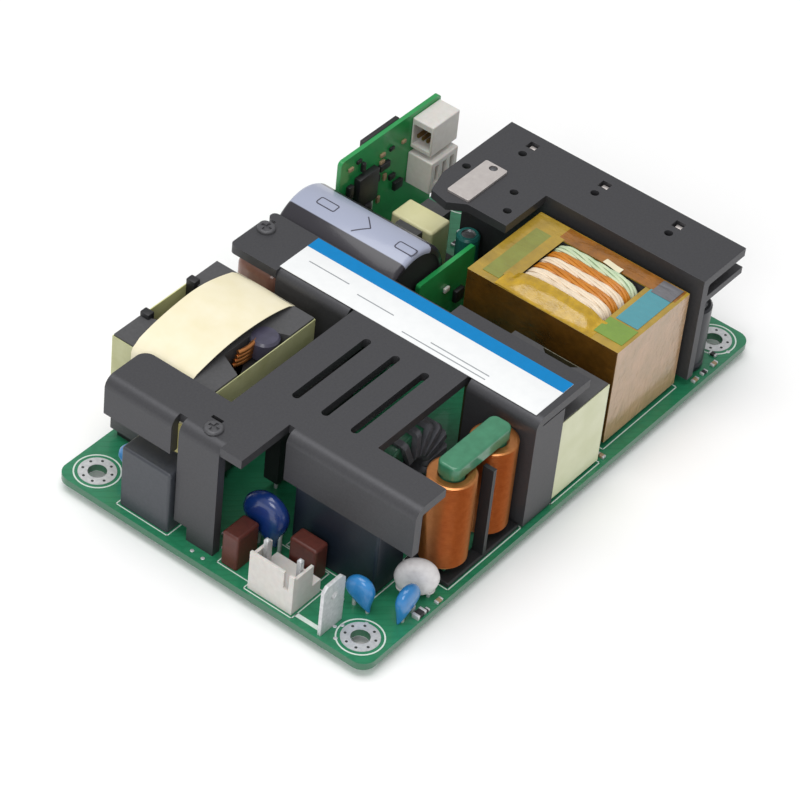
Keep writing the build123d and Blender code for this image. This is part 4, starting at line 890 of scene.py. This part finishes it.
# The resonant choke beside it: the same kind of ferrite core on a wound bobbin, wrapped in
# polyester tape. The tape is pale and softly glossy, and olive where it lies on the dark core.
pale_tape = clouded("pale_polyester_tape", 0.4, 5.0, 0.04, "#E4E6C8", "#C9CDA0", coat=0.2)
rounded("resonant_core", "resonant_choke_core", 0.25, ferrite, "ferrite")
dress("resonant_choke_winding", enamelled_copper)
olive_band = film_tape("olive_film", "#5E583E", "#3C3828", 4.0)
pale_wrap = soft_copy("resonant_choke_tape", 0.1)
low, high = room("resonant_choke_tape")
for face in pale_wrap.faces:
    face.material_index = 0 if face.calc_center_median().y < low.y + 0.4 else 1
weigh(settle("resonant_wrap", pale_wrap, [pale_tape, olive_band], "cream_tape", "resonant_choke_tape"))

# The bulk capacitor: an aluminium can in a shrunk sleeve, smooth with a soft gloss. The sleeve is
# near black with a wide lavender stripe down the negative side, marked with two rounded minus
# signs and an arrow.
low, high = room("bulk_capacitor")
can_radius = (high.x - low.x) / 2
can_axis = ((low.x + high.x) / 2, 0, (low.z + high.z) / 2)
can_ends = (low.y - 0.9, high.y)
stripe_turn = math.radians(3.2)
stripe_half = math.radians(26.8)
stripe_colour = "#A3A9BE"
sleeve_colour = "#2B2930"
sleeve, shader = surface("shrunk_sleeve", stripe_colour, {"Roughness": 0.3, "IOR": 1.5, "Coat Weight": 0.15})
place = add(sleeve, "TexCoord", {})
middle = add(
    sleeve,
    "Mapping",
    {"Location": (-can_axis[0] * MM, 0, -(can_axis[2] + board_top) * MM)},
    [("Vector", place.outputs["Object"])],
)
parts = add(sleeve, "SeparateXYZ", {}, [(0, middle.outputs[0])])
angle = add(sleeve, "Math", {"operation": "ARCTAN2"}, [(0, parts.outputs["X"]), (1, parts.outputs["Z"])])
centred = add(sleeve, "Math", {"operation": "SUBTRACT", 1: stripe_turn}, [(0, angle.outputs[0])])
away = add(sleeve, "Math", {"operation": "ABSOLUTE"}, [(0, centred.outputs[0])])
stripe_ends = {"From Min": stripe_half - 0.01, "From Max": stripe_half + 0.01}
dark = add(sleeve, "MapRange", stripe_ends, [(0, away.outputs[0])])
tint(sleeve, shader, dark.outputs[0], stripe_colour, sleeve_colour)
sleeve_noise = add(
    sleeve, "TexNoise", {"Scale": 1 / (4.0 * MM), "Detail": 2.0}, [("Vector", place.outputs["Object"])]
)
relief(sleeve, shader, sleeve_noise.outputs["Fac"], 0.05)
# The printed marks are dark and flat, the bare metal shines softly, and the rubber is matt.
mark_ink = clouded("sleeve_print", 0.4, 0.6, 0.005, "#3C3C48", "#4A4A58")
can_metal = clouded("drawn_aluminium", 0.36, 1.0, 0.01, "#CDCFD1", "#A6A9AC", metal=1.0)
rubber = clouded("rubber_bung", 0.7, 0.6, 0.02, "#252526", "#171718")
can_length = can_ends[1] - can_ends[0]
can_turn = 0.9
rim, fold_in = can_radius - 1.5, can_radius - 0.35
curl = [(rim, 0.05), (can_radius - can_turn, 0), (fold_in, 0.25), (can_radius, can_turn)]
foot = [(0, 0.5), (rim, 0.5)] + curl
top = [(0, 0.4), (rim, 0.4)] + curl
can = lathe(foot + [(radius, can_length - height) for radius, height in reversed(top)], 64)
for face in can.faces:
    middle = face.calc_center_median()
    if math.hypot(middle.x, middle.y) < rim - 0.01:
        face.material_index = 3 if middle.z < 2 else 2
swing(can, "X", -90)
shift(can, can_axis[0], can_ends[0], can_axis[2])


def wrap_on(form, part, turn):
    """Bends a flat mark, drawn about the origin, onto the lying can and adds it."""
    for corner in part.verts:
        x, y, z = corner.co
        reach = can_radius + z
        corner.co = (reach * math.sin(x / can_radius + turn), y, reach * math.cos(x / can_radius + turn))
    put(form, part, at(can_axis[0], 0, can_axis[2]), 1)


mark_line = 0.26
mark_turn = -0.05
minus_places = (11.0, 30.7)
arrow_place, arrow_turn, arm_length = 19.9, 46, 3.9


def minus_mark(y):
    """A rounded rectangle drawn as an outline, its long side along the can."""
    outer = bmesh.new()
    bmesh.ops.create_cube(outer, size=1)
    bmesh.ops.scale(outer, vec=(2.3, 4.7, 0.06), verts=outer.verts)
    sides = [e for e in outer.edges if abs((e.verts[0].co - e.verts[1].co).z) > 0.01]
    bmesh.ops.bevel(outer, geom=sides, offset=0.55, segments=3, profile=0.5, affect="EDGES", material=-1)
    top = [f for f in outer.faces if abs(f.normal.z) > 0.9]
    bmesh.ops.inset_region(outer, faces=top, thickness=mark_line)
    bmesh.ops.delete(outer, geom=[f for f in top if f.is_valid], context="FACES")
    return shift(outer, 0, y)


for y in minus_places:
    wrap_on(can, minus_mark(y), mark_turn)
for side in (-1, 1):
    arm = brick((-mark_line / 2, 0, -0.02), (mark_line / 2, arm_length, 0.04))
    long = [e for e in arm.edges if abs((e.verts[0].co - e.verts[1].co).y) > 1]
    bmesh.ops.subdivide_edges(arm, edges=long, cuts=9, use_grid_fill=True)
    bmesh.ops.transform(arm, matrix=at(0, arrow_place, 0, arrow_turn * side), verts=arm.verts)
    wrap_on(can, arm, mark_turn)
settle("sleeved_can", can, [sleeve, mark_ink, can_metal, rubber], "can_sleeve", "bulk_capacitor")

# Box capacitors: metallised film potted in moulded cases with rounded edges, dark grey and
# blue-black with a dull shine, and one dipped in a pinkish-brown lacquer that looks wet.
case_grey = clouded("grey_moulded_case", 0.4, 0.6, 0.015, "#44474E", "#35383E", ior=1.5)
case_black = clouded("blue_black_moulded_case", 0.36, 0.6, 0.012, "#1E2835", "#141A23", ior=1.5)
dipped = clouded("pinkish_dipped_lacquer", 0.3, 3.0, 0.04, "#996E5F", "#7C5548", coat=0.3)
for node, name, finish, slot in (
    ("left_x_capacitor", "left_line_capacitor", case_grey, "box_grey"),
    ("resonant_capacitor", "film_box", case_grey, "box_grey"),
    ("front_x_capacitor", "front_line_capacitor", case_black, "box_blue_black"),
    ("film_capacitor", "dipped_capacitor", dipped, "dip_pink_brown"),
):
    rounded(name, node, 0.18, finish, slot)

# The line fuses: small boxes moulded round a wire that melts when too much current flows, each
# on two leads. The plastic is a dark red-brown with a dull shine.
case_brown = clouded("brown_moulded_case", 0.42, 0.8, 0.02, "#643026", "#431E18", ior=1.5)
rounded("box_fuses", "line_fuses", 0.15, case_brown, "box_brown")

# Dipped discs: ceramic or varistor discs coated in epoxy, which runs down the leads as it hardens,
# often into one tail. The blue coats are thick and look wet. The thermistor's is pale and dull.
dip_blue = clouded("blue_epoxy_dip", 0.24, 3.0, 0.05, "#183C86", "#0F2A60", coat=0.5, ior=1.55)
dip_light = clouded("light_blue_epoxy_dip", 0.28, 2.5, 0.04, "#338CD0", "#1D6AA6", coat=0.4, ior=1.55)
dip_pale = clouded("pale_glazed_dip", 0.45, 1.2, 0.1, "#EDEBEB", "#C9C5C6")


def dipped_disc(radius, thick, spread, drip, tail=0.0):
    """A domed disc in the YZ plane, its coating run down two leads spread apart, or into one tail."""
    half = thick / 2
    face = [(0, half), (radius * 0.55, half * 0.97), (radius * 0.8, half * 0.8), (radius * 0.94, half * 0.48)]
    form = lathe(face + [(radius, 0)] + [(r, -h) for r, h in reversed(face)], 40)
    swing(form, "Y")
    if tail:
        for corner in form.verts:
            lower = max(0.0, -corner.co.z / radius) ** 2.2
            corner.co.y = corner.co.y * (1 - 0.75 * lower) + tail * lower
            corner.co.z -= drip * lower
            corner.co.x *= 1 - 0.45 * lower
        return form
    run = lathe([(0, 0), (half * 0.75, 0), (half * 0.6, -drip * 0.5), (0.45, -drip), (0, -drip)], 14)
    rest = math.sqrt(max(radius ** 2 - spread ** 2, 0.1))
    for side in (-1, 1):
        put(form, run, at(0, side * spread, -rest + half * 0.4))
    return form


low, high = room("varistor")
middle = (low + high) / 2
disc = bmesh.new()
put(disc, dipped_disc(5.0, high.x - low.x, 0, 2.6, -2.6), at(middle.x, middle.y + 1.2, middle.z - 3.1, 6))
settle("dipped_varistor", disc, [dip_blue], "dip_blue", "varistor")
low, high = room("thermistor")
middle = (low + high) / 2
disc = bmesh.new()
put(disc, dipped_disc(4.35, 3.6, 2.4, 1.0), at(middle.x, middle.y, middle.z - 0.9, 34))
settle("dipped_thermistor", disc, [dip_pale], "dip_pale", "thermistor")
blue_discs = bmesh.new()
for x, y, z, turn, tail in (
    (-52.2, -27.4, 5.0, 8, -2.4),
    (-48.0, -35.3, 4.8, 90, 2.6),
    (-53.6, 27.0, 4.4, 20, -1.6),
):
    put(blue_discs, dipped_disc(3.1, 2.6, 0, 1.9, tail), at(x, y, z, turn))
settle("dipped_ceramics", blue_discs, [dip_light], "dip_light_blue", "disc_capacitors")

# The line choke: flat enamelled wire wound on edge into two coils, on the limbs of a closed core
# with a glossy green coat, over a black base with a wall between the coils.
flat_wire = 0.42
flat_wide = 2.0
green_coat = clouded("green_epoxy_coat", 0.3, 2.0, 0.04, "#458C6A", "#2E6B4D", coat=0.4, ior=1.5)
dress("line_choke_core", green_coat)
rounded("choke_foot", "line_choke_base", 0.12, moulded_black, "black_mould")
low, high = room("line_choke_coils")
coil_radius = (high.y - low.y) / 2
turns = int((high.z - low.z) / flat_wire)
middle = (low + high) / 2
edge_wound = bmesh.new()
stack = coil(coil_radius - flat_wide / 2, flat_wide, flat_wire * 0.9, turns, flat_wire, 40, 8)
lining = hoop(coil_radius - 1.9, coil_radius - 0.5, low.z + 0.2, high.z - 0.2)
for x in (low.x + coil_radius, high.x - coil_radius):
    put(edge_wound, stack, at(x, middle.y, middle.z))
    put(edge_wound, lining, at(x, middle.y))
settle("edge_wound_coils", edge_wound, [enamelled_copper], "copper", "line_choke_coils")

# The ring choke under the slotted plate: a coated iron-powder ring with turns of thick wire in a
# grey sleeve, dull enough to hold no clear highlight.
grey_wire = clouded("grey_sleeved_wire", 0.4, 1.0, 0.02, "#7A7A80", "#5A5A60")
dress("ring_choke_core", green_coat)
rounded("ring_turns", "ring_choke_winding", 0.3, grey_wire, "grey_enamel")

# The headers: shrouds of moulded nylon with square tinned pins, soldered to their boards. Nylon
# is warm white and lets some light in, which softens its shadows.
nylon = clouded("white_nylon", 0.42, 1.2, 0.015, "#DBD8D3", "#C8C4BE", milk=0.15, milk_depth=0.001)
for node, name in (
    ("mains_header", "mains_shroud"),
    ("output_header", "output_shroud"),
    ("fan_header", "lower_shroud"),
):
    rounded(name, node, 0.12, nylon, "nylon_white")
# The upper header's side is open, with walls 0.5 mm thick. A dark brown block inside it is painted
# shade for its deep inside, and its brass contacts are a dull gold.
wall = 0.5
shroud = merged_copy("sense_header")
low, high = room("sense_header")
for corner in shroud.verts:
    y, z = corner.co.y, corner.co.z
    if low.y + 0.7 < y < high.y - 0.7 and low.z + 1 < z < high.z - 1:
        corner.co.y = low.y + wall if y < (low.y + high.y) / 2 else high.y - wall
        corner.co.z = low.z + 0.9 if z < (low.z + high.z) / 2 else high.z - 1.5
weigh(settle("upper_shroud", soften(shroud, 0.12), [nylon], "nylon_white", "sense_header"))
# The dark brown block in the opening is painted shade.
painted_mouth_shade = clouded("mouth_painted_shade", 0.6, 0.6, 0.02, "#5A4732", "#2C2217")
mouth_back = (high.x - 3.2, low.y + wall + 0.05, low.z + 0.95)
mouth = brick(mouth_back, (high.x - 3.0, high.y - wall - 0.05, high.z - 1.55))
settle("header_mouth", mouth, [painted_mouth_shade], "nylon_white")
rounded("square_pins", "header_pins", 0.08, tin, "tinned")
brass = clouded("bare_brass", 0.35, 0.8, 0.01, "#B68E58", "#7E5E36", metal=0.8)
dress("sense_header_contacts", brass)

# The earth tab: a blade stamped from thin sheet and tinned, soldered upright into the board, with
# a hole in which a push-on receptacle latches.
rounded("earth_blade", "earth_tab", 0.1, tin, "tinned")

# The control board: a thin upright board soldered along its lower edge, with chips, transistors
# and small parts on the face towards the transformer. Its lacquer is glossy; its green, lighter
# than the main board's, is partly its own and partly painted light shining through from behind.
backlit_painted_mask = clouded("solder_mask_painted_backlit", 0.36, 5.0, 0.01, "#27A557", "#167A3C", ior=1.5, coat=0.3)
dress("control_board", backlit_painted_mask)
low, high = room("control_board")
face_y = low.y
small = bmesh.new()
for x, z, wide, tall, thick, body in (
    (13.6, 25.0, 1.4, 0.8, 0.5, 1), (16.6, 25.0, 1.4, 0.8, 0.5, 0), (13.6, 23.2, 1.4, 0.8, 0.5, 1),
    (12.8, 19.4, 0.9, 1.6, 0.5, 0), (15.0, 18.6, 0.9, 1.6, 0.5, 1), (17.4, 17.4, 1.8, 1.2, 0.7, 0),
    (13.4, 13.6, 0.9, 1.6, 0.5, 1), (19.6, 14.2, 2.6, 2.0, 0.9, 0), (20.6, 24.6, 1.2, 0.7, 0.5, 1),
    (3.0, 27.2, 1.4, 0.8, 0.5, 1), (5.6, 27.8, 1.4, 0.8, 0.5, 0),
):
    part = brick((-wide / 2, -thick, -tall / 2), (wide / 2, 0, tall / 2), chip_edge)
    put(small, part, at(low.x + x, face_y, z), body)
round_part = lathe([(0, 0), (1.15, 0), (1.2, 0.15), (1.2, 3.9), (0.9, 4.3), (0, 4.35)], 16)
for x, z in ((4.4, 13.0), (8.0, 12.2)):
    put(small, round_part, at(low.x + x, face_y - 1.3, z))
put(small, soft_copy("control_chips", 0.15))
settle("control_parts", small, [moulded_black, ceramic], "black_mould", "control_chips")
control_print = bmesh.new()
put(control_print, brick((low.x + 11.6, face_y - ink_height, 8.6), (low.x + 12.0, face_y, 16.8)))
settle("control_print", control_print, [white_ink], "nylon_white")

# The feedback board: a smaller upright board near the output, made like the control board, with a
# few black parts and one white one on its face.
# It takes the same lighter green, with its painted light from behind.
dress("feedback_board", backlit_painted_mask)
low, high = room("feedback_board")
white_spot = brick((low.x + 8.2, low.y - 0.7, 14.5), (low.x + 9.8, low.y, 15.7), 0.2)
settle("white_part", white_spot, [nylon], "nylon_white")

# The stand-by transformer: a small ferrite core through a wound bobbin, which is bound with ivory
# tape. The tape is softly glossy and lies a little unevenly.
dress("standby_transformer_core", ferrite)
dress("standby_transformer_bobbin", moulded_black)
soft_tape = clouded("ivory_polyester_tape", 0.42, 4.0, 0.05, "#F5F1C6", "#E2DCA2", coat=0.2)
rounded("standby_wrap", "standby_transformer_tape", 0.1, soft_tape, "cream_tape")

# Upright electrolytic capacitors: drawn aluminium cans in a smooth sleeve, near black or teal,
# that leaves the bright sunk top bare.
dark_sleeve = clouded("dark_sleeve", 0.35, 2.0, 0.02, "#272A32", "#1C1E24", coat=0.1)
teal_sleeve = clouded("teal_sleeve", 0.35, 2.0, 0.02, "#35908A", "#27706B")


def upright_can(radius, height):
    """A sleeved can with a rolled groove near its foot, a shoulder and a sunk top of bare metal."""
    top, bare = height - 0.3, radius - 1.0
    foot = [(0, 0), (radius - 0.3, 0), (radius, 0.3), (radius, 1.2), (radius - 0.35, 1.6), (radius, 2.0)]
    head = [(radius, height - 0.5), (radius - 0.4, height), (bare, height), (bare, top), (0, top)]
    form = lathe(foot + head, 32)
    for face in form.faces:
        middle = face.calc_center_median()
        if middle.z > top - 0.05 and math.hypot(middle.x, middle.y) < bare:
            face.material_index = 1
    return form


low, high = room("output_capacitors")
cans = bmesh.new()
radius = (high.x - low.x) / 2
for n in range(3):
    put(cans, upright_can(radius, high.z), at(low.x + radius, high.y - radius - slot_pitch * n))
settle("output_cans", cans, [dark_sleeve, can_metal], "can_black", "output_capacitors")
low, high = room("small_capacitor")
lone = shift(upright_can((high.x - low.x) / 2, high.z), (low.x + high.x) / 2, (low.y + high.y) / 2)
settle("small_can", lone, [teal_sleeve, can_metal], "can_black", "small_capacitor")

# The stage: a plain white paper floor, matt and even, with a large soft lamp overhead and a
# smaller key lamp from the front left, under an even pale sky, as in a product photograph.
floor_mesh = bpy.data.meshes.new("floor")
plane = bmesh.new()
bmesh.ops.create_grid(plane, x_segments=1, y_segments=1, size=4)
plane.to_mesh(floor_mesh)
plane.free()
floor = bpy.data.objects.new("floor", floor_mesh)
bpy.context.scene.collection.objects.link(floor)
floor_mesh.materials.append(clouded("white_paper", 0.9, 40.0, 0.0, "#FFFFFF", "#FCFCFC"))
sky = bpy.data.worlds.new("pale_sky")
bpy.context.scene.world = sky
sky.use_nodes = True
sky.node_tree.nodes["Background"].inputs["Color"].default_value = (1, 1, 1, 1)
sky.node_tree.nodes["Background"].inputs["Strength"].default_value = 0.5


def lamp(name, power, size, place, target):
    """A square area light in metres, aimed at a point."""
    data = bpy.data.lights.new(name, "AREA")
    data.energy = power
    data.size = size
    made = bpy.data.objects.new(name, data)
    made.location = place
    made.rotation_mode = "QUATERNION"
    made.rotation_quaternion = (Vector(target) - Vector(place)).to_track_quat("-Z", "Y")
    bpy.context.scene.collection.objects.link(made)


lamp("overhead", 6.0, 0.8, (-0.1, 0.1, 1.0), (0, 0, 0))
lamp("key", 2.5, 0.4, (-0.8, -0.3, 0.6), (0, 0, 0))

# The camera: a long lens far from the object, which keeps its edges nearly parallel, at the
# photograph's height and turn and with its slight roll.
azimuth, elevation, roll = math.radians(-56.103), math.radians(41.631), math.radians(6.515)
camera_place = Vector((-0.4371, -0.2900, 0.4666 + board_top * MM))
back = Vector(
    (math.sin(azimuth) * math.cos(elevation), -math.cos(azimuth) * math.cos(elevation), math.sin(elevation))
)
right = Vector((0, 0, 1)).cross(back).normalized()
up = back.cross(right)
tilted_right = right * math.cos(roll) + up * math.sin(roll)
tilted_up = up * math.cos(roll) - right * math.sin(roll)
lens = bpy.data.cameras.new("camera")
lens.lens = 159.68
lens.sensor_width = 36
lens.clip_start = 0.05
lens.clip_end = 20
camera = bpy.data.objects.new("camera", lens)
aim = Matrix((tilted_right, tilted_up, back)).transposed().to_4x4()
camera.matrix_world = Matrix.Translation(camera_place) @ aim
bpy.context.scene.collection.objects.link(camera)
bpy.context.scene.camera = camera
bpy.context.scene.view_settings.view_transform = "Standard"
